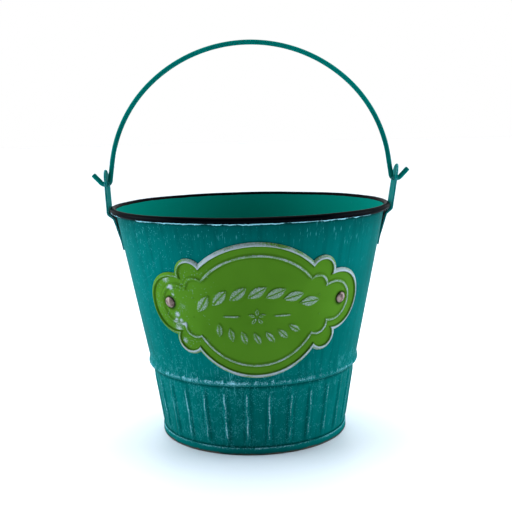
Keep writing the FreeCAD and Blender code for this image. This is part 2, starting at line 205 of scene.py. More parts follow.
def left_normals(path: Array) -> Array:
    """Unit normals on the left of a path, square to the chord between each point's neighbours.

    Args:
        path: Points as (n, 2).

    Returns:
        Normals as (n, 2).
    """
    chord = np.gradient(path, axis=0)
    chord /= np.hypot(chord[:, 0], chord[:, 1])[:, None]
    return np.stack([-chord[:, 1], chord[:, 0]], axis=1)


def lip(first: Array, last: Array, samples: int = 3) -> Array:
    """Rounded free edge of a sheet: the half circle from one skin to the other.

    Args:
        first: Where the first skin ends.
        last: Where the other begins.
        samples: Points between the two.

    Returns:
        Points as (samples, 2), the ends left out.
    """
    centre = (first + last) / 2.0
    arm = first - centre
    side = np.array([-arm[1], arm[0]])
    angle = np.linspace(0.0, math.pi, samples + 2)[1:-1, None]
    return centre + np.cos(angle) * arm + np.sin(angle) * side


def ripple(angle: Array, lobes: tuple[int, ...], seed: int) -> Array:
    """Smooth uneven wave round a circle: the mean of a sine for each number of lobes.

    Args:
        angle: Where it is read.
        lobes: Waves in a full turn.
        seed: Seed of each sine's shift.

    Returns:
        Values from 0 to 1.
    """
    draws = np.random.default_rng(seed).uniform(0.0, FULL_TURN, len(lobes))
    total = sum(np.sin(n * angle + shift) for n, shift in zip(lobes, draws))
    return 0.5 + 0.5 * total / len(lobes)


def grid_quads(rows: int, columns: int, close_rows: bool) -> Array:
    """Quads of a grid numbered row by row, whose columns always close on themselves.

    Args:
        rows: Number of rows.
        columns: Number of columns.
        close_rows: Whether the last row also joins the first.

    Returns:
        Vertex numbers as (n, 4).
    """
    row = np.arange(rows if close_rows else rows - 1)[:, None]
    column = np.arange(columns)[None, :]
    below = (row + 1) % rows
    beside = (column + 1) % columns
    corners = [row * columns + column, row * columns + beside]
    corners += [below * columns + beside, below * columns + column]
    return np.stack(corners, axis=-1).reshape(-1, 4)


def placed(name: str, data: bpy.types.ID) -> bpy.types.Object:
    """New object, linked into the scene.

    Args:
        name: Its name.
        data: Its mesh, light or camera.

    Returns:
        The object.
    """
    piece = bpy.data.objects.new(name, data)
    bpy.context.scene.collection.objects.link(piece)
    return piece


@dataclass
class Surface:
    """Closed surface as arrays, with the masks that its finish reads."""

    places: Array  # (n, 3), in metres
    quads: Array
    triangles: Array
    masks: dict[Mask, Array] = field(default_factory=dict)

    @classmethod
    def ring(cls, grid: Array, masks: dict[Mask, Array | float]) -> "Surface":
        """Surface closed both ways, such as a sheet's section carried round an axis.

        Args:
            grid: Places as (rows, columns, 3).
            masks: Masks that broadcast to (rows, columns).

        Returns:
            The surface.
        """
        rows, columns = grid.shape[:2]
        flat = {name: np.broadcast_to(mask, (rows, columns)).ravel() for name, mask in masks.items()}
        none = np.empty((0, 3), int)
        return cls(grid.reshape(-1, 3), grid_quads(rows, columns, True), none, flat)

    @classmethod
    def capped(cls, grid: Array, masks: dict[Mask, Array | float]) -> "Surface":
        """Surface whose first and last rows are drawn together into one point each.

        Args:
            grid: Places as (rows, columns, 3).
            masks: Masks that broadcast to (rows, columns).

        Returns:
            The surface, with a fan of triangles at each pole.
        """
        rows, columns = grid.shape[:2]
        middle = rows - 2
        places = np.concatenate([grid[1:-1].reshape(-1, 3), grid[:1].mean(axis=1), grid[-1:].mean(axis=1)])
        here = np.arange(columns)
        beside = (here + 1) % columns
        first = np.stack([np.full(columns, middle * columns), beside, here], axis=1)
        base = (middle - 1) * columns
        last = np.stack([np.full(columns, middle * columns + 1), base + here, base + beside], axis=1)
        flat = {}
        for name, mask in masks.items():
            full = np.broadcast_to(mask, (rows, columns))
            flat[name] = np.concatenate([full[1:-1].ravel(), full[0, :1], full[-1, :1]])
        return cls(places, grid_quads(middle, columns, False), np.concatenate([first, last]), flat)

    def volume(self) -> float:
        """Signed volume: the sum of a . (b x c) / 6 over the triangles; positive when faces point out."""
        halves = [self.quads[:, [0, 1, 2]], self.quads[:, [0, 2, 3]], self.triangles]
        corners = self.places[np.concatenate(halves)]
        return float(np.einsum("ij,ij->i", corners[:, 0], np.cross(corners[:, 1], corners[:, 2])).sum() / 6.0)

    def put_in(self, name: str, finish: bpy.types.Material, slot: str, *nodes: str) -> bpy.types.Object:
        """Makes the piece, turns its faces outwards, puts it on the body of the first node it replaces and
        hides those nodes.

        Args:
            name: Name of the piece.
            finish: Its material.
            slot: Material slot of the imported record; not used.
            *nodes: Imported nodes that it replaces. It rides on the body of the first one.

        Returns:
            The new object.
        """
        turn = self.volume() < 0.0
        quads = self.quads[:, ::-1] if turn else self.quads
        triangles = self.triangles[:, ::-1] if turn else self.triangles
        mesh = bpy.data.meshes.new(name)
        mesh.from_pydata(self.places.tolist(), [], quads.tolist() + triangles.tolist())
        mesh.polygons.foreach_set("use_smooth", np.ones(len(mesh.polygons), bool))
        for mask, values in self.masks.items():
            layer = mesh.attributes.new(mask.value, "FLOAT", "POINT")
            layer.data.foreach_set("value", np.ascontiguousarray(values, np.float32))
        mesh.materials.append(finish)
        piece = placed(name, mesh)
        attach(piece, frame["nodes"][nodes[0]]["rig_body"])
        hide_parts(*nodes)
        count = 2 * len(quads) + len(triangles)
        log.info("%s: %d triangles, %.1f cm3", name, count, abs(self.volume()) * 1e6)
        return piece


# ---- Shader nodes ----


class Shading:
    """Adds and links the nodes of one tree."""

    def __init__(self, tree: bpy.types.NodeTree) -> None:
        """Keeps the tree."""
        self.tree = tree

    @classmethod
    def material(cls, name: str) -> tuple["Shading", bpy.types.Material, bpy.types.Node]:
        """New material.

        Args:
            name: Its name.

        Returns:
            The shading of its tree, the material and its Principled shader.
        """
        made = bpy.data.materials.new(name)
        made.use_nodes = True
        return cls(made.node_tree), made, made.node_tree.nodes["Principled BSDF"]

    def add(self, kind: str, **settings: object) -> bpy.types.Node:
        """New node.

        Args:
            kind: Its type.
            **settings: Properties to set on it.

        Returns:
            The node.
        """
        node = self.tree.nodes.new(kind)
        for name, value in settings.items():
            setattr(node, name, value)
        return node

    def feed(self, socket: Socket, value: object) -> None:
        """Links a socket to an output, or sets its value."""
        if isinstance(value, Socket):
            self.tree.links.new(value, socket)
        elif isinstance(value, tuple) and len(value) == 3 and socket.type == "RGBA":
            socket.default_value = (*value, 1.0)
        else:
            socket.default_value = value

    def fill(self, node: bpy.types.Node, values: dict[str | int, object]) -> None:
        """Feeds a node's inputs by name or number."""
        for key, value in values.items():
            self.feed(node.inputs[key], value)

    def math(self, operation: str, *values: object) -> Socket:
        """Result of a Math node.

        Args:
            operation: What it does.
            *values: What it does it to.

        Returns:
            The result.
        """
        node = self.add("ShaderNodeMath", operation=operation)
        self.fill(node, dict(enumerate(values)))
        return node.outputs[0]

    def mask(self, value: object, low: object, high: object) -> Socket:
        """Smooth rise from 0 to 1 between two values.

        Args:
            value: Where it is read.
            low: Value at which the rise starts.
            high: Value at which it ends.

        Returns:
            The rise.
        """
        node = self.add("ShaderNodeMapRange", interpolation_type="SMOOTHSTEP")
        self.fill(node, {"Value": value, "From Min": low, "From Max": high})
        return node.outputs["Result"]

    def mix(self, share: object, first: object, second: object) -> Socket:
        """Colour between two others."""
        return self._mixed("RGBA", {0: share, 6: first, 7: second}, 2)

    def blend(self, share: object, first: object, second: object) -> Socket:
        """Number between two others."""
        return self._mixed("FLOAT", {0: share, 2: first, 3: second}, 0)

    def _mixed(self, data_type: str, given: dict[int, object], output: int) -> Socket:
        """Result of a Mix node, whose sockets go by number because each data type has its own.

        Args:
            data_type: What it mixes.
            given: Values by the number of the input.
            output: Number of the output.

        Returns:
            The output.
        """
        node = self.add("ShaderNodeMix", data_type=data_type)
        self.fill(node, given)
        return node.outputs[output]

    def noise(self, place: object, scale: object, detail: float, rough: float = 0.5) -> Socket:
        """Noise value at a place.

        Args:
            place: Where it is read.
            scale: Waves in a metre.
            detail: Number of finer layers.
            rough: Strength of each finer layer.

        Returns:
            The value.
        """
        node = self.add("ShaderNodeTexNoise")
        self.fill(node, {"Vector": place, "Scale": scale, "Detail": detail, "Roughness": rough})
        return node.outputs["Fac"]

    def relief(self, surface: bpy.types.Node, height: object, strength: float, distance: float) -> None:
        """Bumps a shader's surface.

        Args:
            surface: The shader.
            height: Height of the relief, from 0 to 1.
            strength: Strength of the bump.
            distance: Height in metres that 1 stands for.
        """
        bump = self.add("ShaderNodeBump")
        self.fill(bump, {"Strength": strength, "Distance": distance, "Height": height})
        self.feed(surface.inputs["Normal"], bump.outputs[0])

    def place(self) -> Socket:
        """Object coordinates."""
        return self.add("ShaderNodeTexCoord").outputs["Object"]

    def attribute(self, mask: Mask) -> Socket:
        """Value of a point attribute, 0 on a piece without it."""
        return self.add("ShaderNodeAttribute", attribute_name=mask.value).outputs["Fac"]

    def group(self, tree: bpy.types.NodeTree, **values: object) -> Socket:
        """First output of a node group.

        Args:
            tree: The group.
            **values: Its inputs by name.

        Returns:
            The output.
        """
        node = self.add("ShaderNodeGroup", node_tree=tree)
        self.fill(node, values)
        return node.outputs[0]


class Effects:
    """Shader groups that the finishes share. Each puts out one mask."""

    BARREL = 66.0 * MM  # radius to which the wall's taper is drawn straight

    def __init__(self) -> None:
        """Builds the groups once."""
        self.drawn = self._drawn()
        self.dots = self._dots()
        self.ragged = self._ragged()
        self.mottle = self._mottle()

    @staticmethod
    def _open(name: str, inputs: dict[str, float]) -> tuple[Shading, bpy.types.Node, bpy.types.Node]:
        """New group with number inputs and one output named Mask.

        Args:
            name: Name of the group.
            inputs: Its inputs and what they are if left alone.

        Returns:
            The group's shading, its input node and its output node.
        """
        tree = bpy.data.node_groups.new(name, "ShaderNodeTree")
        for label, value in inputs.items():
            socket = tree.interface.new_socket(label, in_out="INPUT", socket_type="NodeSocketFloat")
            socket.default_value = value
        tree.interface.new_socket("Mask", in_out="OUTPUT", socket_type="NodeSocketFloat")
        shading = Shading(tree)
        return shading, shading.add("NodeGroupInput"), shading.add("NodeGroupOutput")

    def _unrolled(self, shading: Shading, squeeze: Socket) -> Socket:
        """Places on the wall as if it were a barrel: (x/r, y/r) times a fixed radius, with z squeezed.

        Args:
            shading: The group's shading.
            squeeze: What z is multiplied by.

        Returns:
            The places.
        """
        split = shading.add("ShaderNodeSeparateXYZ")
        shading.feed(split.inputs[0], shading.place())
        across, along, up = split.outputs
        squares = [shading.math("MULTIPLY", part, part) for part in (across, along)]
        radius = shading.math("MAXIMUM", shading.math("SQRT", shading.math("ADD", *squares)), MM)
        share = shading.math("DIVIDE", self.BARREL, radius)
        join = shading.add("ShaderNodeCombineXYZ")
        for socket, part, factor in zip(join.inputs, (across, along, up), (share, share, squeeze)):
            shading.feed(socket, shading.math("MULTIPLY", part, factor))
        return join.outputs[0]

    def _drawn(self) -> bpy.types.NodeTree:
        """Flecks drawn out along the wall: noise on unrolled places, cut at a level."""
        inputs = {"Scale": 900.0, "Squeeze": 0.15, "Amount": 0.0, "Level": 0.6, "Softness": 0.08}
        shading, start, end = self._open("drawn flecks", inputs)
        wall = self._unrolled(shading, start.outputs["Squeeze"])
        grain = shading.noise(wall, start.outputs["Scale"], 4.0, 0.6)
        lifted = shading.math("ADD", grain, start.outputs["Amount"])
        high = shading.math("ADD", start.outputs["Level"], start.outputs["Softness"])
        shading.feed(end.inputs[0], shading.mask(lifted, start.outputs["Level"], high))
        return shading.tree

    def _dots(self) -> bpy.types.NodeTree:
        """Specks: a dot in each cell whose random number is under the amount, larger the further under."""
        inputs = {"Scale": 1200.0, "Squeeze": 0.75, "Amount": 0.2, "Size": 0.42}
        shading, start, end = self._open("specks", inputs)
        cells = shading.add("ShaderNodeTexVoronoi")
        wall = self._unrolled(shading, start.outputs["Squeeze"])
        shading.fill(cells, {"Vector": wall, "Scale": start.outputs["Scale"]})
        split = shading.add("ShaderNodeSeparateColor")
        shading.feed(split.inputs[0], cells.outputs["Color"])
        spare = shading.math("SUBTRACT", start.outputs["Amount"], split.outputs[0])
        size = shading.math("MULTIPLY", shading.mask(spare, 0.0, 0.25), start.outputs["Size"])
        edge = shading.math("SUBTRACT", size, cells.outputs["Distance"])
        shading.feed(end.inputs[0], shading.mask(edge, 0.0, 0.12))
        return shading.tree

    def _ragged(self) -> bpy.types.NodeTree:
        """Ragged edge of a worn place: the given amount, pushed up and down by noise, cut at a half."""
        inputs = {"Amount": 0.0, "Scale": 900.0, "Depth": 0.6, "Softness": 0.15}
        shading, start, end = self._open("ragged edge", inputs)
        grain = shading.noise(shading.place(), start.outputs["Scale"], 5.0, 0.65)
        push = shading.math("MULTIPLY", shading.math("SUBTRACT", grain, 0.5), start.outputs["Depth"])
        pushed = shading.math("ADD", start.outputs["Amount"], push)
        low = shading.math("SUBTRACT", 0.5, start.outputs["Softness"])
        high = shading.math("ADD", 0.5, start.outputs["Softness"])
        shading.feed(end.inputs[0], shading.mask(pushed, low, high))
        return shading.tree

    def _mottle(self) -> bpy.types.NodeTree:
        """Soft clouds that drift a colour or a gloss."""
        shading, start, end = self._open("mottle", {"Scale": 40.0, "Low": 0.35, "High": 0.65})
        cloud = shading.noise(shading.place(), start.outputs["Scale"], 3.0, 0.55)
        shading.feed(end.inputs[0], shading.mask(cloud, start.outputs["Low"], start.outputs["High"]))
        return shading.tree


# ---- Finishes ----


@dataclass(frozen=True)
class Paint:
    """Thin paint over tinplate, rubbed pale on its edges and specked all over. Scales are per metre."""

    name: str
    tint: Colour
    drift: Colour  # second tint that clouds into the first
    inner: Colour = (0.0, 0.205, 0.158)
    worn: Colour = (0.07, 0.32, 0.37)
    bright: Colour = (0.30, 0.66, 0.76)  # hard core of a rubbed place
    fleck: Colour = (0.07, 0.42, 0.45)
    run: Colour = (0.0, 0.07, 0.066)  # darker runs down the wall
    dirt_and_shade: Colour = (0.0, 0.012, 0.012)
    # colour of dirt, and of the painted shade in recesses, creases and under the rim
    black: Colour = (0.0, 0.0006, 0.0015)
    bare: Colour = (0.10, 0.075, 0.06)
    metallic: float = 0.0
    roughness: float = 0.42
    specular: float = 0.002
    rough_drift: float = 0.06  # how much rougher the second tint is
    rough_inside: float = 0.6
    rough_worn: float = 0.5
    cloud_scale: float = 28.0
    run_scale: float = 330.0
    run_squeeze: float = 0.07  # a squeeze draws a pattern out along the wall
    run_depth: float = 0.4

    fleck_scale: float = 2300.0  # cells in a metre
    fleck_squeeze: float = 0.75
    fleck_share: float = 0.44  # share of the cells with a speck where the mask is 1
    fleck_size: float = 0.5  # largest speck, in cells
    speck_strength: float = 0.5
    crowd_scale: float = 190.0  # of the patches in which the specks crowd

    scratch_scale: float = 2300.0
    scratch_squeeze: float = 0.08
    scratch_gain: float = 0.14  # how far the mask lifts the scratches to their level
    scratch_strength: float = 0.85
    drawn_level: float = 0.68  # the scratches' level

    rag_scale: float = 2500.0
    raggedness: float = 1.9  # how far noise moves the edge of a rubbed place
    rag_softness: float = 0.14
    core_step: float = 0.1  # how much more worn a place is where its core shows
    bare_scale: float = 700.0
    grain_scale: float = 1500.0
    bump: float = 0.25
    bump_distance: float = 0.1 * MM

    rim: bool = False  # whether it carries the black rim
    rim_scale: float = 170.0
    rim_depth: float = 2.3  # how far noise moves the black paint's edge
    rim_chips: float = 0.42  # how far below the black its chipped edge reaches, as its mask counts
    rough_black: float = 0.4
    rim_gloss: float = 0.03  # weight of the clear coat on the black
    coat_roughness: float = 0.25

    def material(self, effects: Effects) -> bpy.types.Material:
        """Builds the material.

        Args:
            effects: Shared shader groups.

        Returns:
            The material.
        """
        shading, material, surface = Shading.material(self.name)
        inside = shading.attribute(Mask.INSIDE)

        clouds = shading.group(effects.mottle, Scale=self.cloud_scale, Low=0.3, High=0.7)
        colour = shading.mix(clouds, self.tint, self.drift)
        stretch = {"Scale": self.run_scale, "Squeeze": self.run_squeeze}
        runs = shading.group(effects.drawn, Level=0.42, Softness=0.26, **stretch)
        colour = shading.mix(shading.math("MULTIPLY", runs, self.run_depth), colour, self.run)
        colour = shading.mix(inside, colour, self.inner)
        # darker towards that colour: dirt, and painted shade in recesses, creases and under the rim
        colour = shading.mix(shading.attribute(Mask.GRIME), colour, self.dirt_and_shade)
        flecks = self._flecks(shading, effects)
        colour = shading.mix(flecks, colour, self.fleck)
        rub = shading.attribute(Mask.RUB)
        edge = {"Scale": self.rag_scale, "Depth": self.raggedness, "Softness": self.rag_softness}
        rubbed = shading.group(effects.ragged, Amount=rub, **edge)
        core = shading.group(effects.ragged, Amount=shading.math("SUBTRACT", rub, self.core_step), **edge)
        colour = shading.mix(rubbed, colour, self.worn)
        colour = shading.mix(core, colour, self.bright)
        amount = shading.attribute(Mask.BARE)
        bare = shading.group(effects.ragged, Amount=amount, Scale=self.bare_scale, Depth=0.8, Softness=0.2)
        colour = shading.mix(bare, colour, self.bare)
        rough = shading.blend(clouds, self.roughness, self.roughness + self.rough_drift)
        rough = shading.blend(inside, rough, self.rough_inside)
        rough = shading.blend(rubbed, rough, self.rough_worn)
        metal = shading.blend(inside, self.metallic, 0.0)
        if self.rim:
            black = self._ragged_rim(shading, effects, 0.0, 0.07)
            chipped = self._ragged_rim(shading, effects, self.rim_chips, 0.12)
            chipped = shading.math("MULTIPLY", chipped, shading.math("SUBTRACT", 1.0, inside))
            colour = shading.mix(chipped, colour, self.bright)
            colour = shading.mix(black, colour, self.black)
            rough = shading.blend(black, rough, self.rough_black)
            metal = shading.blend(black, metal, 0.0)
            shading.feed(surface.inputs["Coat Weight"], shading.blend(black, 0.0, self.rim_gloss))
        shading.fill(surface, {
            "Base Color": colour,
            "Roughness": rough,
            "Metallic": metal,
            "Specular IOR Level": self.specular,
            "Coat Roughness": self.coat_roughness,
        })

        grain = shading.math("MULTIPLY", shading.noise(shading.place(), self.grain_scale, 3.0, 0.6), 0.35)
        chips = shading.math("MULTIPLY", shading.math("ADD", rubbed, flecks), 0.4)
        shading.relief(surface, shading.math("SUBTRACT", grain, chips), self.bump, self.bump_distance)
        return material

    def _flecks(self, shading: Shading, effects: Effects) -> Socket:
        """Specks, and scratches drawn down the wall, each as thick as its attribute says.

        Args:
            shading: The material's shading.
            effects: Shared shader groups.

        Returns:
            Where either shows.
        """
        patches = shading.group(effects.mottle, Scale=self.crowd_scale, Low=0.36, High=0.64)
        crowd = shading.blend(patches, 0.3, 1.0)
        thick = shading.math("MULTIPLY", shading.attribute(Mask.FLECK), crowd)
        specks = shading.group(
            effects.dots,
            Scale=self.fleck_scale,
            Squeeze=self.fleck_squeeze,
            Amount=shading.math("MULTIPLY", thick, self.fleck_share),
            Size=self.fleck_size,
        )
        scratches = shading.group(
            effects.drawn,
            Scale=self.scratch_scale,
            Squeeze=self.scratch_squeeze,
            Amount=shading.math("MULTIPLY", shading.attribute(Mask.DRAWN), self.scratch_gain),
            Level=self.drawn_level,
            Softness=0.1,
        )
        specks = shading.math("MULTIPLY", specks, self.speck_strength)
        return shading.math("MAXIMUM", specks, shading.math("MULTIPLY", scratches, self.scratch_strength))

    def _ragged_rim(
        self, shading: Shading, effects: Effects, shift: float, softness: float
    ) -> Socket:
        """Black paint down to its ragged edge; every shift of the edge follows the same noise.

        Args:
            shading: The material's shading.
            effects: Shared shader groups.
            shift: How far the edge is moved down, as the mask counts.
            softness: Softness of the edge.

        Returns:
            Where the paint is.
        """
        amount = shading.math("ADD", shading.attribute(Mask.BLACK), shift)
        rag = {"Scale": self.rim_scale, "Depth": self.rim_depth, "Softness": softness}
        return shading.group(effects.ragged, Amount=amount, **rag)


@dataclass(frozen=True)
class AgedMetal:
    """Bare metal, clouded between two colours, with dark pits."""

    name: str
    light: Colour
    dark: Colour
    metallic: float = 0.7
    roughness: float = 0.5
    rough_drift: float = 0.15  # how much rougher the dark is
    scale: float = 600.0  # of the clouds, in a metre; the pits are three times as fine
    bump: float = 0.4
    bump_distance: float = 0.15 * MM

    def material(self, effects: Effects) -> bpy.types.Material:
        """Builds the material.

        Args:
            effects: Shared shader groups.

        Returns:
            The material.
        """
        shading, material, surface = Shading.material(self.name)
        clouds = shading.group(effects.mottle, Scale=self.scale, Low=0.35, High=0.7)
        # darker where the mask says: dirt, and on the rivets painted shade on the head and a painted shadow
        # at its seat
        amount = shading.attribute(Mask.GRIME)
        dirt_and_shade = shading.group(effects.ragged, Amount=amount, Scale=self.scale, Depth=0.8, Softness=0.3)
        colour = shading.mix(clouds, self.light, self.dark)
        colour = shading.mix(dirt_and_shade, colour, tuple(0.2 * part for part in self.dark))
        rough = shading.blend(clouds, self.roughness, self.roughness + self.rough_drift)
        shading.fill(surface, {"Base Color": colour, "Roughness": rough, "Metallic": self.metallic})
        pits = shading.noise(shading.place(), 3.0 * self.scale, 3.0)
        shading.relief(surface, pits, self.bump, self.bump_distance)
        return material


# ---- The tin ----


@dataclass
class Tin:
    """Sizes that several sub-assemblies share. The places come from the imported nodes' boxes."""

    sheet: float = 0.3 * MM
    slope: float = math.radians(10.9)  # how far the wall leans out, above the hoop
    hoop_top: float = 45.2 * MM
    curl_play: float = 0.05 * MM
    front_turn: float = math.radians(2.0)  # plaque and body stand off square to the ears by this
    rim_dent: float = 0.35 * MM  # how far the rim is knocked in, at most
    rim_sag: float = 0.25 * MM  # and down
    dent_reach: float = 16.0 * MM  # over which the dents die out below the rim

    def __post_init__(self) -> None:
        """Reads the frame."""
        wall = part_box("pail_wall")
        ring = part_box("rim_wire")
        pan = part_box("base_pan")
        self.rim_radius = wall[1].x
        self.height = wall[1].z
        self.wire_radius = (ring[1].z - ring[0].z) / 2.0
        self.wire_z = (ring[1].z + ring[0].z) / 2.0
        self.ring_radius = ring[1].x - self.wire_radius
        self.seam_radius = pan[1].x
        self.seam_height = pan[1].z
        self.curl_inside = self.wire_radius + self.curl_play
        self.curl_outside = self.curl_inside + self.sheet
        self.pivot_z = frame["joints"][0]["pos_m"][2]

    def wall_radius(self, z: Array | float) -> Array | float:
        """Outside radius of the plain tapered wall at a height."""
        at_wire = self.ring_radius - self.curl_inside / math.cos(self.slope)
        return at_wire + (z - self.wire_z) * math.tan(self.slope)

    @staticmethod
    def around(angle: Array, radius: Array, z: Array) -> Array:
        """Places at an angle from the front, a radius and a height."""
        return np.stack(np.broadcast_arrays(radius * np.sin(angle), -radius * np.cos(angle), z), axis=-1)

    def knocked(self, angle: Array, radius: Array, z: Array) -> Array:
        """Places on the turned body after its knocks: the rim leans in and sags by uneven waves.

        Args:
            angle: Angle from the body's own front.
            radius: Radius before the knocks.
            z: Height before them.

        Returns:
            Places as (rows, columns, 3).
        """
        near_rim = smooth_step(z, self.height - self.dent_reach, self.height)
        inward = self.rim_dent * ripple(angle, (2, 3, 5, 9), 4) * near_rim
        down = self.rim_sag * ripple(angle, (3, 7, 11), 9) * near_rim
        return self.around(angle + self.front_turn, radius - inward, z - down)


class Skin(Enum):
    """Side of a sheet."""

    OUTER = 0
    INNER = 1


@dataclass
class PailBody:
    """Sheet wall: hook in the base seam, fluted skirt, hoop, tapered wall and a rim curled over a wire."""

    TOP_LINE: ClassVar[Mark] = (42.6 * MM, 0.6 * MM)
    LOW_LINE: ClassVar[Mark] = (40.6 * MM, 0.4 * MM)
    ABOVE_HOOP: ClassVar[Mark] = (45.0 * MM, 1.8 * MM)
    NEAR_HOOP: ClassVar[Mark] = (47.0 * MM, 6.0 * MM)
    ON_HOOP: ClassVar[Mark] = (42.6 * MM, 2.6 * MM)
    UNDER_HOOP: ClassVar[Mark] = (36.0 * MM, 3.0 * MM)
    NEAR_RIM: ClassVar[Mark] = (122.0 * MM, 7.0 * MM)
    STEP: ClassVar[Mark] = (39.5 * MM, 0.7 * MM)
    # Heights over which the wear on the ribs' crests sets in and dies away
    CREST_FROM: ClassVar[tuple[float, float]] = (6.0 * MM, 11.0 * MM)
    CREST_TO: ClassVar[tuple[float, float]] = (33.5 * MM, 37.0 * MM)

    tin: Tin
    curl_end: float = math.radians(-135.0)
    hoop_crest: float = 42.7 * MM
    hoop_rise: float = 1.05 * MM
    hoop_edge: float = 40.5 * MM
    hoop_edge_rise: float = 0.45 * MM
    hoop_shoulder: float = 0.55
    hoop_belly: float = 0.08
    step_depth: float = 1.45 * MM
    skirt_lead: float = 0.35 * MM
    skirt_top: float = 39.3 * MM
    rib_count: int = 30
    rib_width: float = 3.2 * MM
    rib_height: float = 0.6 * MM
    fade_top: float = 5.0 * MM
    fade_foot: float = 5.2 * MM
    hook_play: float = 0.3 * MM
    lock_width: float = 5.0 * MM
    lock_rise: float = 0.6 * MM
    lock_gap: float = 1.2 * MM
    fold: float = 0.35 * MM  # outside radius of a sharp fold in the sheet
    crest_width: float = 0.34  # of the wear on a rib, as a share of the rib's half width
    crust: float = 42.1 * MM  # height of the ragged worn band round the hoop
    black_reach: float = math.radians(60.0)  # turn of the curl over which the black paint thins out
    black_drop: float = 1.3 * MM  # and height over which it does on the wall
    bend_at: float = 0.86  # share of the way up the wall where the rim's knocks begin to bend it
    near_curl: float = 0.42  # share of the rest that is close under the curl
    rows_wall: float = 4.5 * MM  # spacing of the rows up the wall, below that bend
    rows_shoulder: float = 1.2 * MM  # above it
    rows_under_curl: float = 0.8 * MM  # and close under the curl
    columns_rib: int = 11
    columns_panel: int = 5

    def __post_init__(self) -> None:
        """Works out the sizes that follow."""
        tin = self.tin
        self.foot_radius = tin.seam_radius - 3.0 * tin.sheet
        self.edge_radius = tin.wall_radius(self.hoop_edge) + self.hoop_edge_rise
        self.skirt_radius = self.edge_radius - self.step_depth
        self.pitch = FULL_TURN / self.rib_count

    def _hoop_points(self) -> tuple[Array, Array, Array, Array, Array]:
        """Points that the hoop's two arcs go through, as (radius, height).

        Returns:
            Its edge, belly, crest and shoulder, and the point where it leaves the wall.
        """
        radius = self.tin.wall_radius
        top = self.tin.hoop_top
        swell = (top + self.hoop_crest) / 2.0
        crest = radius(self.hoop_crest) + self.hoop_rise
        return (
            np.array([self.edge_radius, self.hoop_edge]),
            np.array([crest - self.hoop_belly * self.hoop_rise, (self.hoop_edge + self.hoop_crest) / 2.0]),
            np.array([crest, self.hoop_crest]),
            np.array([radius(swell) + self.hoop_shoulder * self.hoop_rise, swell]),
            np.array([radius(top), top]),
        )

    def _outer_path(self) -> tuple[Array, int]:
        """Outer skin of the sheet: hook, fold, skirt, step, hoop, wall and curl.

        Returns:
            Points from the hook's free edge to the curl's, and the number of the curl's first point.
        """
        tin = self.tin
        edge, belly, crest, shoulder, leaves = self._hoop_points()
        hook = self.foot_radius + tin.sheet
        fold_z = 2.0 * tin.sheet
        tight = tin.sheet / 6.0
        low = rounded_path(
            [
                (hook, tin.seam_height - tin.sheet - self.hook_play),
                (hook, fold_z),
                (self.foot_radius, fold_z),
                (self.foot_radius, tin.seam_height),
                (self.skirt_radius, self.skirt_top),
                (self.skirt_radius, self.skirt_top + self.skirt_lead),
                tuple(edge),
                tuple(arc_through(edge, belly, crest, 9)[3]),
            ],
            [tight, tight, tin.sheet, tin.sheet, tight, self.fold],
        )
        low = fill_gaps(low, 1.5 * MM)
        over = arc_through(crest, shoulder, leaves, 9)
        hoop = np.concatenate([arc_through(edge, belly, crest, 9)[4:], over[1:]])
        meets = math.pi - tin.slope
        curl = arc((tin.ring_radius, tin.wire_z), tin.curl_inside, meets, self.curl_end, 20)
        bend = leaves + (curl[0] - leaves) * self.bend_at
        near = curl[0] + (bend - curl[0]) * self.near_curl
        wall = np.concatenate([
            fill_gaps(np.stack([leaves, bend]), self.rows_wall)[1:],
            fill_gaps(np.stack([bend, near]), self.rows_shoulder)[1:-1],
            fill_gaps(np.stack([near, curl[0]]), self.rows_under_curl)[:-1],
        ])
        return np.concatenate([low, hoop, wall, curl]), len(low) + len(hoop) + len(wall)

    def _angles(self) -> Array:
        """Columns round the body.

        Returns:
            Their angles, close together over each rib and wider on the panels between.
        """
        reach = 1.15 * (self.rib_width / 2.0 / self.skirt_radius)
        rib = np.linspace(-reach, reach, self.columns_rib)
        panel = np.linspace(reach, self.pitch - reach, self.columns_panel + 2)[1:-1]
        one = np.concatenate([rib, panel])
        centres = (np.arange(self.rib_count) + 0.5) * self.pitch
        return (centres[:, None] + one[None, :]).ravel()

    def _rib(self, angle: Array, radius: Array, z: Array) -> tuple[Array, Array]:
        """Height of a rib: across it, 1 - s^2 with s the share of its half width.

        Args:
            angle: Angle round the body.
            radius: Radius of the section.
            z: Height on it.

        Returns:
            The height, and the share, which is 0 at the crest.
        """
        share = (np.mod(angle, self.pitch) - self.pitch / 2.0) * radius / (self.rib_width / 2.0)
        return self.rib_height * np.clip(1.0 - share**2, 0.0, 1.0) * self._fade(z), share

    def _fade(self, z: Array) -> Array:
        """Share of a rib's height: it dies away above the base seam and below the hoop."""
        rise = smooth_step(z, self.tin.seam_height, self.tin.seam_height + self.fade_foot)
        return rise * (1.0 - smooth_step(z, self.skirt_top - self.fade_top, self.skirt_top))

    def _masks(self, angle: Array, z: Array, share: Array, skin: Array, curl: Array) -> dict[Mask, Array]:
        """Where the body is worn, dirty and black.

        Args:
            angle: (1, columns).
            z: (rows, 1) heights of the section.
            share: (rows, columns) share of the rib's half width.
            skin: (rows, 1) Skin values.
            curl: (rows, 1) angle on the curl, and far above pi elsewhere.

        Returns:
            The masks.
        """
        tin = self.tin
        outer = (skin == Skin.OUTER.value) * 1.0
        off_curl = 1.0 - (curl < math.pi)
        bearing = np.mod(angle + math.pi, FULL_TURN) - math.pi
        left = bell(bearing, -0.9, 0.7)
        front_left = bell(bearing, -0.3, 0.75)
        uneven = ripple(angle, (4, 7, 13, 22), 21)
        patchy = ripple(angle, (5, 11, 17, 29), 33)
        ragged = ripple(angle, (53, 83, 127, 179), 11)

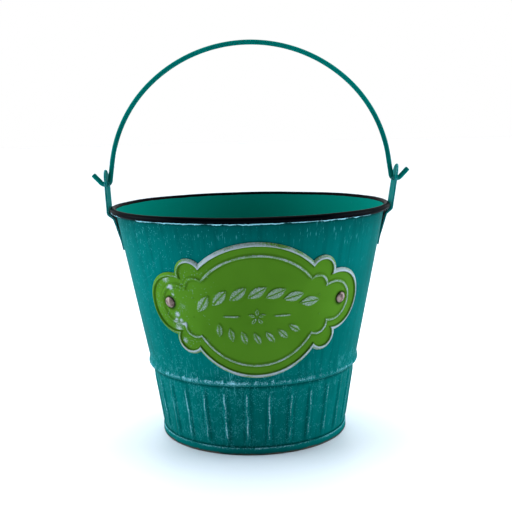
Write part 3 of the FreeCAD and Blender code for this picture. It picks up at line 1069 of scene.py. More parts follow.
        number = np.floor(angle / self.pitch)
        wobble = 0.13 * np.sin(z / (2.6 * MM) + 2.4 * number) + 0.08 * np.sin(z / (1.4 * MM) + 4.1 * number)
        broken = 0.5 + 0.5 * np.sin(z / (3.1 * MM) + 5.3 * number)
        strong = 0.5 + 0.5 * np.sin(2.9 * number + 0.6)
        crest = bell(share - wobble, 0.0, self.crest_width) * smooth_step(z, *self.CREST_FROM)
        crest = crest * (1.0 - smooth_step(z, *self.CREST_TO)) * (0.20 + 0.12 * strong + 0.17 * broken)
        spread = bell(share, 0.0, 1.9) * self._fade(z) * (0.06 + 0.17 * front_left) * (0.4 + 0.6 * strong)
        line_top = bell(z, *self.TOP_LINE) * 0.10 * patchy * ragged
        line_low = bell(z, *self.LOW_LINE) * (0.10 + 0.12 * uneven)
        above = bell(z, *self.ABOVE_HOOP) * (0.12 + 0.12 * patchy) * (0.4 + 0.6 * left)
        crust = bell(z - 1.1 * MM * (ragged - 0.5), self.crust, (1.0 + 1.2 * ragged) * MM)
        between = crust * (0.12 + 0.24 * ragged + 0.18 * patchy + 0.14 * front_left)
        rub = (crest + spread + np.maximum(line_top, line_low) + between + above) * outer * off_curl

        near_hoop = bell(z, *self.NEAR_HOOP) + 0.6 * bell(z, *self.UNDER_HOOP)
        skirt = 1.0 - smooth_step(z, self.skirt_top - MM, self.skirt_top + MM)
        on_hoop = bell(z, *self.ON_HOOP)
        fleck = 0.4 + 0.5 * near_hoop + 0.7 * on_hoop * patchy + 0.4 * left + skirt * (0.4 + 0.5 * front_left)
        fleck = fleck + 0.9 * crest + 1.2 * spread
        drawn = 0.15 + 1.05 * near_hoop * patchy + 0.55 * bell(z, *self.NEAR_RIM) * uneven

        # Painted shade: dark in the crease over the base seam, in the step under the hoop, in the gap under
        # the curl, down the wall under the rim's overhang and in the grooves beside the ribs
        seam = bell(z, tin.seam_height, 0.7 * MM)
        under = tin.wire_z - tin.curl_outside
        under_curl = bell(z, under, 1.2 * MM) * off_curl
        shade = bell(z, under, 9.0 * MM) * off_curl
        grime = outer * (0.55 * bell(z, *self.STEP) + 0.7 * seam + 0.6 * under_curl + 0.38 * shade)
        beside_rib = outer * 0.4 * bell(np.abs(share), 1.0, 0.16) * self._fade(z)
        below_top = smooth_step(curl, math.radians(60.0), math.radians(110.0))
        return {
            Mask.RUB: rub,
            Mask.FLECK: fleck * outer,
            Mask.DRAWN: drawn * outer,
            Mask.GRIME: np.clip(grime + beside_rib, 0.0, 1.0),
            Mask.BLACK: self._black(bearing, z, outer, curl),
            Mask.INSIDE: (1.0 - outer) * below_top,
        }

    def _black(self, bearing: Array, z: Array, outer: Array, curl: Array) -> Array:
        """Black paint of the rim: over the curl, down its inside, and a little on to the wall beside it.

        Args:
            bearing: (1, columns) angle from the front, either way.
            z: (rows, 1) heights of the section.
            outer: (rows, 1) 1 on the outer skin.
            curl: (rows, 1) angle on the curl, and far above pi elsewhere.

        Returns:
            The mask.
        """

        def edge(above: Array, reach: float) -> Array:
            """A half at the edge, more above it and less below, by the share of a reach."""
            return np.clip(0.5 + above / reach, -1.0, 1.5)

        tin = self.tin
        on_curl = curl < math.pi
        aside = smooth_step(np.abs(bearing), 0.9, 1.35)
        lower_edge = np.radians(-88.0 + 50.0 * aside)  # higher on the curl at the sides, where the pale chipped band and the teal below it also paint the sheen of the curl's lower half
        painted = edge(curl - lower_edge, self.black_reach) * on_curl * (1.0 - outer)
        inner_edge = tin.wire_z + 0.1 * MM
        rim_inside = (1.0 - outer) * (1.0 - on_curl) * edge(z - inner_edge, 0.45 * MM)
        under = tin.wire_z - tin.curl_outside
        hang = 0.1 * MM - 2.0 * MM * aside  # how far down the wall it ran: at the sides not at all
        ran_down = edge(z - under + hang, self.black_drop)
        return painted + rim_inside + outer * np.where(on_curl > 0.5, -1.0, ran_down)

    def wall(self) -> Surface:
        """Sheet's closed section (outer skin, lip, inner skin, lip) carried round the axis.

        Returns:
            The wall. The inner skin is the outer one shifted by the sheet along its normals, with half
            as many rows below the curl.
        """
        tin = self.tin
        path, first = self._outer_path()
        shifted = path + left_normals(path) * tin.sheet
        number = np.arange(len(path))
        kept = (number >= first) | (number % 2 == 0)
        back = shifted[kept][::-1]
        section = np.concatenate([path, lip(path[-1], shifted[-1]), back, lip(back[-1], path[0])])
        curl_angle = np.arctan2(section[:, 1] - tin.wire_z, section[:, 0] - tin.ring_radius)
        curl_rows = np.zeros(len(section), bool)
        curl_rows[first: len(path) + 3 + (len(path) - first)] = True
        skin = np.full(len(section), Skin.INNER.value)
        skin[: len(path)] = Skin.OUTER.value
        angle = self._angles()[None, :]
        radius, z = section[:, :1], section[:, 1:]
        rise, share = self._rib(angle, radius, z)
        grid = tin.knocked(angle, radius + rise, z)
        curl = np.where(curl_rows, curl_angle, 10.0)[:, None]
        return Surface.ring(grid, self._masks(angle, z, share, skin[:, None], curl))

    def lock_seam(self) -> Surface:
        """Flat folded strip down the back: a rounded bar carried up the skirt, hoop and wall.

        Returns:
            The strip. Each ring is the bar's section laid out across the seam and along the normal.
        """
        tin = self.tin
        path, first = self._outer_path()
        above = path[:, 1] > tin.seam_height + 0.05 * MM
        below = path[:, 1] < tin.height - 2.0 * tin.curl_outside - self.lock_gap
        spine = path[above & below & (np.arange(len(path)) < first)]
        normals = -left_normals(spine)
        half = self.lock_width / 2.0
        sink = 0.3 * tin.sheet
        round_by = 0.26 * MM
        rise = self.lock_rise
        corners = [(0.0, -sink), (half, -sink), (half, rise), (-half, rise), (-half, -sink), (0.0, -sink)]
        bar = fill_gaps(rounded_path(corners, [round_by] * 4, 5), 0.6 * MM)[:-1]
        middle = (rise - sink) / 2.0
        size = np.array([0.0, 1.0])[:, None]  # a point at each end, the full section between
        across = bar[:, 0] * size
        lift = middle + (bar[:, 1] - middle) * size
        rows = np.concatenate([[0], np.ones(len(spine), int), [0]])
        spot = np.concatenate([[0], np.arange(len(spine)), [len(spine) - 1]])
        radius = spine[spot, :1] + normals[spot, :1] * lift[rows]
        z = spine[spot, 1:] + normals[spot, 1:] * lift[rows]
        grid = tin.knocked(math.pi + across[rows] / spine[spot, :1], radius, z)
        edge = smooth_step(np.abs(across[rows]), half - 0.7 * MM, half - 0.1 * MM) * (lift[rows] > 0.3 * MM)
        wear = edge * (0.10 + 0.16 * ripple(z / (20.0 * MM), (3, 7, 11), 5))
        return Surface.capped(grid, {Mask.RUB: wear, Mask.FLECK: 0.35, Mask.BLACK: -1.0})


@dataclass
class RimWire:
    """Wire that the rim is rolled over."""

    tin: Tin
    rings: int = 240
    sides: int = 16

    def wire(self) -> Surface:
        """Torus: a circle carried round the axis, knocked in with the rim.

        Returns:
            The wire, closed both ways.
        """
        tin = self.tin
        turn, angle = full_circle(self.sides).T, full_circle(self.rings)
        radius = tin.ring_radius + tin.wire_radius * np.cos(turn)
        z = tin.wire_z + tin.wire_radius * np.sin(turn)
        return Surface.ring(tin.knocked(angle, radius, z), {Mask.GRIME: 0.3})


@dataclass
class BasePan:
    """Pressed base: a disc, a wall down inside the body and a flange folded up over the body's hook."""

    tin: Tin
    recess: float = 3.6 * MM  # floor to the underside of the disc
    hook_play: float = 0.3 * MM
    dent: float = 0.12 * MM  # how far the flange is knocked in, at most
    columns: int = 240

    def pan(self) -> Surface:
        """The pan's section turned about the axis.

        Returns:
            The pan, from the middle of its underside out, round the seam and back over the floor.
        """
        tin = self.tin
        sheet = tin.sheet
        outside = tin.seam_radius
        top = tin.seam_height
        foot = outside - 3.0 * sheet
        inside = foot - 2.0 * sheet
        tight = sheet / 4.0
        soft = 0.45 * MM
        section = rounded_path(
            [
                (0.0, self.recess),
                (inside, self.recess),
                (inside, 0.0),
                (outside, 0.0),
                (outside, top),
                (foot, top),
                (foot, 2.0 * sheet + self.hook_play),
                (foot + sheet, 2.0 * sheet + self.hook_play),
                (foot + sheet, top - sheet),
                (outside - sheet, top - sheet),
                (outside - sheet, sheet),
                (inside + sheet, sheet),
                (inside + sheet, self.recess + sheet),
                (0.0, self.recess + sheet),
            ],
            [soft, tight, soft, soft, tight, tight, tight, tight, tight, tight, tight, soft],
            5,
        )
        section = fill_gaps(section, 3.0 * MM)
        angle = full_circle(self.columns)
        radius, z = section[:, :1], section[:, 1:]
        near_edge = smooth_step(radius, inside, outside)
        uneven = ripple(angle, (5, 9, 14, 23), 12)
        patchy = ripple(angle, (4, 11, 19, 31), 17)
        grid = tin.around(angle, radius - self.dent * uneven * near_edge, z)
        outer = smooth_step(radius, outside - 0.6 * MM, outside - 0.3 * MM)
        edge = bell(z, top - 0.25 * MM, 0.55 * MM) * outer * (0.30 + 0.30 * uneven)
        low = (1.0 - smooth_step(z, 0.6 * MM, 2.4 * MM)) * outer * (0.42 + 0.4 * patchy)
        floor = (radius < inside) & (z > self.recess + 0.5 * sheet)
        return Surface.capped(
            grid,
            {
                Mask.RUB: edge,
                Mask.BARE: low,
                Mask.FLECK: 0.5 * outer,
                # painted contact shadow along the foot of the seam, where it meets the floor
                Mask.GRIME: 0.95 * bell(z, 0.0, 0.8 * MM) * outer,
                Mask.INSIDE: floor,
            },
        )


class Side(Enum):
    """Side of the bucket, as the sign of X."""

    LEFT = -1
    RIGHT = 1


@dataclass
class Ear:
    """Bent strap: a foot on the wall, a leg out under the rim and an upright plate for the bail."""

    tin: Tin
    side: Side
    thickness: float = 1.0 * MM
    width: float = 16.0 * MM
    leans: tuple[float, float] = (math.radians(2.3), math.radians(8.5))  # left and right, outwards
    rim_gap: float = 1.0 * MM
    bend_drop: float = 4.2 * MM
    neck_drop: float = 6.8 * MM
    neck_gap: float = 1.5 * MM
    foot_drop: float = 20.0 * MM
    foot: float = 5.0 * MM
    tip_rise: float = 8.3 * MM
    hole_radius: float = 2.0 * MM
    edge: float = 0.28 * MM  # rounding of the strap's edges
    corner: float = 1.5 * MM  # rounding of the foot's two corners
    rubbed_hole: tuple[float, float] = (3.4 * MM, 2.1 * MM)  # reach of the bail's rub, and where it is full

    def face(self, z: float) -> float:
        """Radius of the inner face above the bend: a plate that leans out past the rim.

        Args:
            z: Height.

        Returns:
            Its distance from the axis, in the plane through the ear's middle.
        """
        tin = self.tin
        lean = self.leans[self.side is Side.RIGHT]
        stand = (tin.curl_outside + self.rim_gap) / math.cos(lean)
        return tin.ring_radius + stand + (z - tin.wire_z) * math.tan(lean)

    def _spine(self) -> Array:
        """Section of the strap's inner face.

        Returns:
            Points from the foot to the tip, as (n, 2) of radius and height.
        """
        tin = self.tin
        foot_top = tin.height - self.foot_drop
        foot_low = foot_top - self.foot
        neck = tin.height - self.neck_drop
        bend = tin.height - self.bend_drop
        tip = tin.pivot_z + self.tip_rise
        spine = rounded_path(
            [
                (tin.wall_radius(foot_low), foot_low),
                (tin.wall_radius(foot_top), foot_top),
                (tin.wall_radius(neck) + self.neck_gap, neck),
                (self.face(bend), bend),
                (self.face(tip), tip),
            ],
            [6.0 * MM, 1.7 * MM, 0.9 * MM],
            9,
        )
        return fill_gaps(spine, 0.7 * MM)

    def strap(self) -> Surface:
        """A ring of spokes from the hole out to the strap's outline, carried over both faces.

        Each spoke starts on the inner face at the hole, runs out to the outline, turns over the edge on a
        quarter round, comes back on the outer face and turns in at the hole. Flat places (across, along)
        are then bent: along is measured on the strap's inner face from the pivot, and across goes round
        the bucket.

        Returns:
            The strap, closed both ways.
        """
        spine = self._spine()
        run = np.concatenate([[0.0], np.cumsum(np.hypot(*np.diff(spine, axis=0).T))])
        pivot = float(np.interp(self.tin.pivot_z, spine[:, 1], run))
        half = self.width / 2.0
        top = run[-1] - pivot
        corners = [(half, 0.0), (half, -pivot), (-half, -pivot), (-half, 0.0)]
        sides = fill_gaps(rounded_path(corners, [self.corner, self.corner], 7), 0.8 * MM)
        crown = arc((0.0, top - half), half, math.pi, 0.0, 41)
        outline = fill_gaps(np.concatenate([sides, crown]), 0.8 * MM)[:-1]
        angle = np.arctan2(outline[:, 1], outline[:, 0])
        hole = self.hole_radius * np.stack([np.cos(angle), np.sin(angle)], axis=1)
        reach = np.hypot(*(outline - hole).T)
        ahead = ((outline - hole) / reach[:, None])[None]

        inset, thick = self.edge, self.thickness
        share = np.concatenate([[0.0, 0.04, 0.1], np.linspace(0.2, 0.9, 20), [0.96, 1.0]])[:, None, None]
        flat = hole[None] + ahead * inset + ahead * share * (reach[None, :, None] - 2.0 * inset)
        turn = np.linspace(0.0, math.pi / 2.0, 4)[1:-1, None, None]
        out, far = (flat[-1:] + ahead * inset * part for part in (np.sin(turn), 1.0))
        hem, near = (flat[:1] - ahead * inset * part for part in (np.sin(turn), 1.0))
        drop = (inset * (1.0 - np.cos(turn)))[:, 0, 0]
        rise = smooth_step(share[..., 0], 0.95, 1.0)
        rows = [  # places, height over the inner face, and wear: full round the outline, none at the hole
            (flat, 0.0, rise),
            (out, drop, 1.0),
            (far, inset, 1.0),
            (far, thick - inset, 1.0),
            (out[::-1], thick - drop[::-1], 1.0),
            (flat[::-1], thick, rise[::-1]),
            (hem, thick - drop, 0.0),
            (near, thick - inset, 0.0),
            (near, inset, 0.0),
            (hem[::-1], drop[::-1], 0.0),
        ]
        laid = np.concatenate([places for places, _, _ in rows])
        lift = np.concatenate([np.broadcast_to(height, len(places)) for places, height, _ in rows])[:, None]
        level = np.concatenate([np.broadcast_to(wear, places.shape[:2]) for places, _, wear in rows])

        across, along = laid[..., 0], laid[..., 1] + pivot
        normals = -left_normals(spine)
        radius = np.interp(along, run, spine[:, 0]) + np.interp(along, run, normals[:, 0]) * lift
        z = np.interp(along, run, spine[:, 1]) + np.interp(along, run, normals[:, 1]) * lift
        x = np.sqrt(radius**2 - across**2)
        grid = np.stack([self.side.value * x, self.side.value * across, z], axis=-1)
        rubbed = smooth_step(np.hypot(across, laid[..., 1]), *self.rubbed_hole)
        worn = level * (0.20 + 0.22 * ripple(angle, (3, 5, 8), 3 + self.side.value))[None, :]
        return Surface.ring(grid, {Mask.RUB: worn + 0.35 * rubbed, Mask.FLECK: 0.3})


@dataclass
class Bail:
    """Round wire handle: a flat arch, shoulders, legs, hooks through the ears and turned-up tails."""

    tin: Tin
    ears: dict[Side, Ear]
    wire: float = 2.8 * MM
    rise: float = 78.0 * MM
    leg: float = 12.2 * MM
    slant: float = math.radians(8.5)  # the legs spread towards the ears
    shoulder: float = 75.0 * MM
    hook: float = 2.3 * MM
    reach: float = 0.6 * MM
    tail: float = 2.5 * MM
    tail_turn: float = math.radians(47.0)
    tail_length: float = 6.6 * MM
    sides: int = 24

    def __post_init__(self) -> None:
        """Finds the ears' faces at the pivots: their mean, and the bail's middle between them."""
        left, right = (self.ears[side].face(self.tin.pivot_z) for side in (Side.LEFT, Side.RIGHT))
        self.face = (left + right) / 2.0
        self.middle = (right - left) / 2.0

    def _half(self) -> Array:
        """Centre line of one half: crown, shoulder, leg, hook and tail.

        Returns:
            Points from the apex to the tail's tip, as (n, 2) of X and Z, with X from the bail's middle.
        """
        pivot = self.tin.pivot_z
        thickness = self.ears[Side.RIGHT].thickness
        outwards = np.array([math.cos(self.slant), math.sin(self.slant)])
        hook_x = self.face + thickness / 2.0
        leg_low = np.array([hook_x, pivot + self.hook]) - self.hook * outwards
        leg_x = leg_low[0] - (pivot + self.leg - leg_low[1]) * math.tan(self.slant)
        inset, level = np.array([leg_x, pivot + self.leg]) - self.shoulder * outwards
        drop = pivot + self.rise - level
        crown = (inset**2 + drop**2 - self.shoulder**2) / (2.0 * (drop - self.shoulder))
        low = pivot + self.rise - crown
        join = math.atan2(level - low, inset)
        end_x = self.face + thickness + self.reach
        turned = self.tail_turn - math.pi / 2.0
        tail = arc((end_x, pivot + self.tail), self.tail, -math.pi / 2.0, turned, 8)
        tip = tail[-1] + self.tail_length * np.array([math.cos(self.tail_turn), math.sin(self.tail_turn)])
        return np.concatenate([
            arc((0.0, low), crown, math.pi / 2.0, join, 60),
            arc((inset, level), self.shoulder, join, self.slant, 36)[1:],
            arc((hook_x, pivot + self.hook), self.hook, math.pi + self.slant, 1.5 * math.pi, 12),
            tail,
            fill_gaps(np.stack([tail[-1], tip]), 0.8 * MM)[1:],
        ])

    def handle(self) -> Surface:
        """Circle carried along the centre line; each end is a small dome down to a pole.

        Returns:
            The wire. Its section stays in the plane of the centre line's normal and the Y axis.
        """
        half = self._half()
        line = np.concatenate([half[::-1] * [-1.0, 1.0], half[1:]])
        line = fill_gaps(line, 1.2 * MM)
        chord = np.gradient(line, axis=0)
        chord /= np.hypot(chord[:, 0], chord[:, 1])[:, None]
        dome = np.array([0.0, 0.55, 0.86, 1.0])
        depth = 0.25 * self.wire
        ends = depth * np.array([0.0, 0.04, 0.2, 0.6])[:, None]
        head = line[0] + chord[0] * ends
        foot = line[-1] - chord[-1] * ends[::-1]
        inner = (np.arange(len(line)) > 0) & (np.arange(len(line)) < len(line) - 1)
        spine = np.concatenate([head, line[inner], foot])
        first, last = (np.repeat(end[None], len(dome), axis=0) for end in (chord[0], chord[-1]))
        along = np.concatenate([first, chord[inner], last])
        size = np.concatenate([dome, np.ones(inner.sum()), dome[::-1]]) * self.wire / 2.0
        side = np.stack([-along[:, 1], along[:, 0]], axis=1)
        turn = full_circle(self.sides)
        x = spine[:, :1] + side[:, :1] * size[:, None] * np.cos(turn)
        z = spine[:, 1:] + side[:, 1:] * size[:, None] * np.cos(turn)
        grid = np.stack([x + self.middle, size[:, None] * np.sin(turn), z], axis=-1)
        nick = bell(spine[:, :1], -3.7 * MM, 0.5 * MM) * (spine[:, 1:] > self.tin.pivot_z + self.rise / 2.0)
        from_ear = np.hypot(np.abs(spine[:, :1]) - self.face, spine[:, 1:] - self.tin.pivot_z)
        near_ear = bell(from_ear, 0.0, 4.0 * MM)
        masks = {
            Mask.GRIME: nick * smooth_step(np.cos(turn - 0.6), 0.3, 0.9),
            Mask.RUB: 0.4 * near_ear,
            Mask.FLECK: 0.1,
        }
        return Surface.capped(grid, masks)


@dataclass(frozen=True)
class Leaf:
    """Raised leaf on the plaque, in its flat layout."""

    x: float
    y: float
    turn: float
    length: float
    width: float
    taper: int  # 2 for a pointed leaf; the higher, the blunter its ends


@dataclass
class Plaque:
    """Embossed plate: lobed outline, sloped border, a raised line inside it and a spray of leaves."""

    # Wear of the border's slope, by bearing from the plaque's middle in degrees
    WORN_AT: ClassVar[tuple[float, ...]] = (
        -180.0, -165.0, -145.0, -120.0, -60.0, -35.0, 20.0, 35.0, 50.0, 78.0, 95.0, 140.0, 150.0, 180.0
    )
    WORN: ClassVar[tuple[float, ...]] = (
        0.08, 0.12, 0.46, 0.58, 0.56, 0.60, 0.62, 0.56, 0.46, 0.40, 0.68, 0.68, 0.30, 0.08
    )

    # Chipped places at the left end: (across, up) and reach in millimetres, and depth
    CHIPS: ClassVar[tuple[tuple[tuple[float, float], float, float], ...]] = (
        ((-51.0, 13.0), 3.2, 0.50), ((-47.5, 8.8), 1.9, 0.62), ((-46.2, 5.0), 1.2, 0.55),
        ((-43.8, -5.8), 2.0, 0.62), ((-44.5, -9.0), 1.8, 0.55), ((-41.5, -8.8), 1.6, 0.58),
        ((-43.5, -14.0), 3.4, 0.50), ((-39.0, -10.5), 1.6, 0.6), ((-40.0, -0.5), 3.6, 0.30),
        ((-39.5, -20.0), 2.2, 0.5),
    )

    # Rows of leaves: half their spread and aim in degrees; arc, its middle, length and width in
    # millimetres; and 1 for an arc that bulges up or -1 for one that bulges down
    SPRAYS: ClassVar[tuple[tuple[float, ...], ...]] = (
        (30.0, 30.0, 56.0, -45.5, 12.0, 6.0, 1.0),
        (25.0, -62.0, 46.0, 31.0, 8.5, 4.2, -1.0),
    )

    tin: Tin
    panel: float = 86.8 * MM
    middle: float = 37.15 * MM
    crown: Circle = (0.0, -4.3 * MM, 41.8 * MM)
    lobe: Circle = (35.8 * MM, 18.2 * MM, 8.5 * MM)
    end: Circle = (44.7 * MM, 0.0, 17.5 * MM)
    line_crown: Circle = (0.0, -5.0 * MM, 35.3 * MM)
    line_lobe: Circle = (32.7 * MM, 10.7 * MM, 5.6 * MM)
    line_end: Circle = (42.7 * MM, 0.0, 10.8 * MM)
    sheet: float = 0.6 * MM
    border: float = 2.4 * MM
    field_edge: float = 2.6 * MM
    border_height: float = 1.5 * MM
    bevel: float = 1.5 * MM
    fall: float = 0.5 * MM
    line_width: float = 1.7 * MM
    line_crest: float = 0.9 * MM
    line_height: float = 1.15 * MM
    edge_lift: float = 0.1 * MM
    rivet_out: float = 48.5 * MM
    dimple: float = 3.8 * MM
    dimple_depth: float = 0.35 * MM
    leaf_height: float = 0.55 * MM
    steps: tuple[int, int, int] = (74, 44, 62)  # grid columns on a quarter's crown, lobe and end
    rows_in: int = 50  # grid rows from the border to the oval
    rows_middle: int = 44  # and from the oval to the middle
    rows_back: int = 11  # close enough for the flat faces to stay out of the curved wall
    oval_across: float = 31.0 * MM
    oval_up: float = 19.0 * MM

    def __post_init__(self) -> None:
        """Works out where the plaque stands on the wall."""
        self.scale = (self.tin.height - self.tin.hoop_top) / self.panel
        self.mid_z = self.tin.hoop_top + self.middle * self.scale
        slope = self.tin.slope
        at_wire = self.tin.ring_radius - self.tin.curl_inside / math.cos(slope)
        self.apex = self.tin.wire_z - at_wire / math.tan(slope)

    def wrap(self, x: Array, y: Array, lift: Array) -> Array:
        """Lays flat places on the tapered wall.

        The wall unrolls about its apex: a place lies at its distance from the apex and at its bearing
        there divided by the sine of the slope, and is then lifted along the wall's normal.

        Args:
            x: Across.
            y: Up the wall.
            lift: Off the wall.

        Returns:
            Places in the frame.
        """
        slope = self.tin.slope
        slant = (self.mid_z - self.apex) / math.cos(slope) + y
        reach = np.hypot(x, slant)
        angle = np.arctan2(x, slant) / math.sin(slope)
        radius = reach * math.sin(slope) + lift * math.cos(slope)
        z = self.apex + reach * math.cos(slope) - lift * math.sin(slope)
        return self.tin.around(angle + self.tin.front_turn, radius, z)

    def _ring(self, inset: Array) -> Array:
        """Lobed outline drawn in by each inset.

        A quarter is three arcs: crown, lobe and end. Neighbours meet where their circles, each smaller
        by the inset, cross. The other quarters are its mirror images.

        Args:
            inset: How far each row is drawn in.

        Returns:
            Flat places as (rows, columns, 2), clockwise from the top.
        """
        inset = np.asarray(inset, float)
        circles = [[part * self.scale for part in circle] for circle in (self.crown, self.lobe, self.end)]
        radii = [circle[2] - inset * self.scale for circle in circles]

        def crossing(one: int, two: int) -> Array:
            """Crossing of two of the circles, on the side away from the plaque's middle.

            Args:
                one: Number of the first circle.
                two: Number of the second.

            Returns:
                Places as (rows, 2).
            """
            (ax, ay, _), (bx, by, _) = circles[one], circles[two]
            gap = math.hypot(bx - ax, by - ay)
            along = (radii[one] ** 2 - radii[two] ** 2 + gap**2) / (2.0 * gap)
            off = np.sqrt(np.maximum(radii[one] ** 2 - along**2, 0.0))
            ex, ey = (bx - ax) / gap, (by - ay) / gap
            return np.stack([ax + along * ex - off * ey, ay + along * ey + off * ex], axis=-1)

        def bearing(one: int, point: Array) -> Array:
            """Angle of a point seen from a circle's centre."""
            return np.arctan2(point[..., 1] - circles[one][1], point[..., 0] - circles[one][0])

        notch, nick = crossing(0, 1), crossing(1, 2)
        quarter_turn = np.full(len(inset), math.pi / 2.0)
        spans = [
            (0, quarter_turn, bearing(0, notch), self.steps[0]),
            (1, bearing(1, notch), bearing(1, nick), self.steps[1]),
            (2, bearing(2, nick), np.zeros(len(inset)), self.steps[2]),
        ]
        runs = []
        for number, start, finish, count in spans:
            share = np.linspace(0.0, 1.0, count, endpoint=number == 2)[None, :]
            angle = start[:, None] + (finish - start)[:, None] * share
            x = circles[number][0] + radii[number][:, None] * np.cos(angle)
            y = circles[number][1] + radii[number][:, None] * np.sin(angle)
            runs.append(np.stack([x, y], axis=-1))
        quarter = np.concatenate(runs, axis=1)
        flips = [(1.0, 1.0, False), (1.0, -1.0, True), (-1.0, -1.0, False), (-1.0, 1.0, True)]
        turned = [(quarter[:, ::-1] if back else quarter) * [fx, fy] for fx, fy, back in flips]
        return np.concatenate([part[:, :-1] for part in turned], axis=1)

    def _oval(self, count: int) -> Array:
        """Oval inside the outline.

        Its points crowd towards the ends opposite the notch and the nick, so that the straight ways in
        from the lobe cross neither each other nor the crown.

        Args:
            count: Number of points on the outline.

        Returns:
            As many flat places, as (columns, 2).
        """
        quarter = count // 4
        number = np.arange(count)
        from_top = np.abs((number + quarter) % (2 * quarter) - quarter)
        crown, lobe, _ = self.steps
        turn = np.radians(np.interp(from_top, [0, crown, crown + lobe, quarter], [90.0, 33.0, 20.0, 0.0]))
        across = np.where(number <= 2 * quarter, 1.0, -1.0) * np.cos(turn)
        up = np.where((number <= quarter) | (number >= 3 * quarter), 1.0, -1.0) * np.sin(turn)
        return np.stack([self.oval_across * across, self.oval_up * up], axis=1) * self.scale

    def leaves(self) -> list[Leaf]:
        """Spray of leaves: an arched row above, a small rosette with a bar each side, and a row below.

        Returns:
            The leaves.
        """
        made = []
        for spread, aim, radius, middle, length, width, way in self.SPRAYS:
            for turn in np.radians(np.linspace(-spread, spread, 7)):
                x, y = math.sin(turn) * radius, middle + way * math.cos(turn) * radius
                made.append((x, y, math.radians(aim) - way * turn, length, width, 2))
        for petal in range(5):
            bearing = math.radians(90.0 + 72.0 * petal)
            made.append((2.7 * math.cos(bearing), -3.0 + 2.7 * math.sin(bearing), bearing, 4.4, 2.6, 2))
        for side in (-1.0, 1.0):
            made.append((side * 13.0, -2.8, side * math.radians(-2.0), 9.0, 1.7, 12))
        size = MM * self.scale
        return [
            Leaf(x * size, y * size, turn, length * size, width * size, taper)
            for x, y, turn, length, width, taper in made
        ]

    def _spray(self, x: Array, y: Array) -> tuple[Array, Array]:
        """Relief of the leaves over the field.

        A leaf is as wide as 1 - |2p/length|^taper says, p along it. It rises over a short slope inside
        that outline and has a fine groove along its middle.

        Args:
            x: Flat places across.
            y: Flat places up.

        Returns:
            Height of the leaves and how near their veins are, both from 0 to 1.
        """
        height = np.zeros_like(x)
        vein = np.zeros_like(x)
        for leaf in self.leaves():
            cos, sin = math.cos(leaf.turn), math.sin(leaf.turn)
            along = (x - leaf.x) * cos + (y - leaf.y) * sin
            across = np.abs((y - leaf.y) * cos - (x - leaf.x) * sin)
            outline = 1.0 - np.abs(2.0 * along / leaf.length) ** leaf.taper
            half = leaf.width / 2.0 * np.clip(outline, 0.0, 1.0)
            rise = smooth_step(half - across, 0.0, 0.6 * MM)
            groove = bell(across, 0.0, 0.28 * MM) * smooth_step(half, 0.8 * MM, 1.3 * MM)
            height = np.maximum(height, rise * (1.0 - 0.5 * groove))
            vein = np.maximum(vein, groove * rise)
        return height, vein

    def _line(self, x: Array, y: Array) -> Array:
        """Distance from the raised line: the least of the distances to its three circles.

        Where two of them overlap the line isn't there, so the second least is added, and a place inside
        one and near another is pushed further in.

        Args:
            x: Flat places across.
            y: Flat places up.

        Returns:
            The distance, below 0 inside the line.
        """
        near = [
            np.hypot(np.abs(x) - cx * self.scale, np.abs(y) - cy * self.scale) - r * self.scale
            for cx, cy, r in (self.line_crown, self.line_lobe, self.line_end)
        ]
        least, second = np.sort(near, axis=0)[:2]
        deep = smooth_step(-least, 0.3 * MM, 0.8 * MM) * (1.0 - smooth_step(second, 0.0, 2.0 * MM))
        return least + np.minimum(second, 0.0) - 2.0 * MM * deep

    def plate(self) -> Surface:
        """Rows from the middle of the back, round the edge, over the border and in to the middle.

        Near the edge the rows are the outline drawn in by the border's section. Inside it each point goes
        straight to its own place on an oval, and the oval shrinks to the middle. The relief is worked out
        at each place.

        Returns:
            The plate, with a pole at the middle of each face.
        """
        section = rounded_path(
            [
                (self.field_edge, self.edge_lift),
                (0.0, self.edge_lift),
                (0.0, self.sheet),
                (self.bevel, self.border_height),
                (self.border - self.fall, self.border_height),
                (self.border, self.sheet),
                (self.field_edge, self.sheet),
            ],
            [0.15 * MM, 0.2 * MM, 0.3 * MM, 0.2 * MM, 0.12 * MM],
            4,
        )
        section = fill_gaps(section, 0.35 * MM)
        rim = self._ring(section[:, 0])
        count = rim.shape[1]
        oval = self._oval(count)[None]
        share = np.linspace(0.0, 1.0, self.rows_in + 1)[1:, None, None]
        shrink = np.linspace(1.0, 0.0, self.rows_middle + 1)[1:, None, None]
        inner = np.concatenate([rim[-1:] + share * (oval - rim[-1:]), shrink * oval])
        back = np.linspace(0.0, 1.0, self.rows_back + 1)[:-1, None, None] * rim[:1]
        flat = np.concatenate([back, rim, inner])
        x, y = flat[..., 0], flat[..., 1]
        under, field_lift = np.full(len(back), self.edge_lift), np.full(len(inner), self.sheet)
        base = np.concatenate([under, section[:, 1], field_lift])[:, None]
        front = np.concatenate([np.zeros(len(back) + len(rim)), np.ones(len(inner))])[:, None]
        near = np.abs(self._line(x, y))
        ridge = 1.0 - smooth_step(near, self.line_crest / 2.0, self.line_width / 2.0)
        spray, vein = self._spray(x, y)
        out = np.hypot(np.abs(x) - self.rivet_out * self.scale, y)
        dimple = 1.0 - smooth_step(out, self.dimple - 0.45 * MM, self.dimple)
        line_rise = (self.line_height - self.sheet) * ridge
        relief = line_rise + self.leaf_height * spray - self.dimple_depth * dimple
        grid = self.wrap(x, y, base + front * relief)
        masks = self._masks(x, y, section, front, ridge, near, spray, vein, out, len(back))
        return Surface.capped(grid, masks)

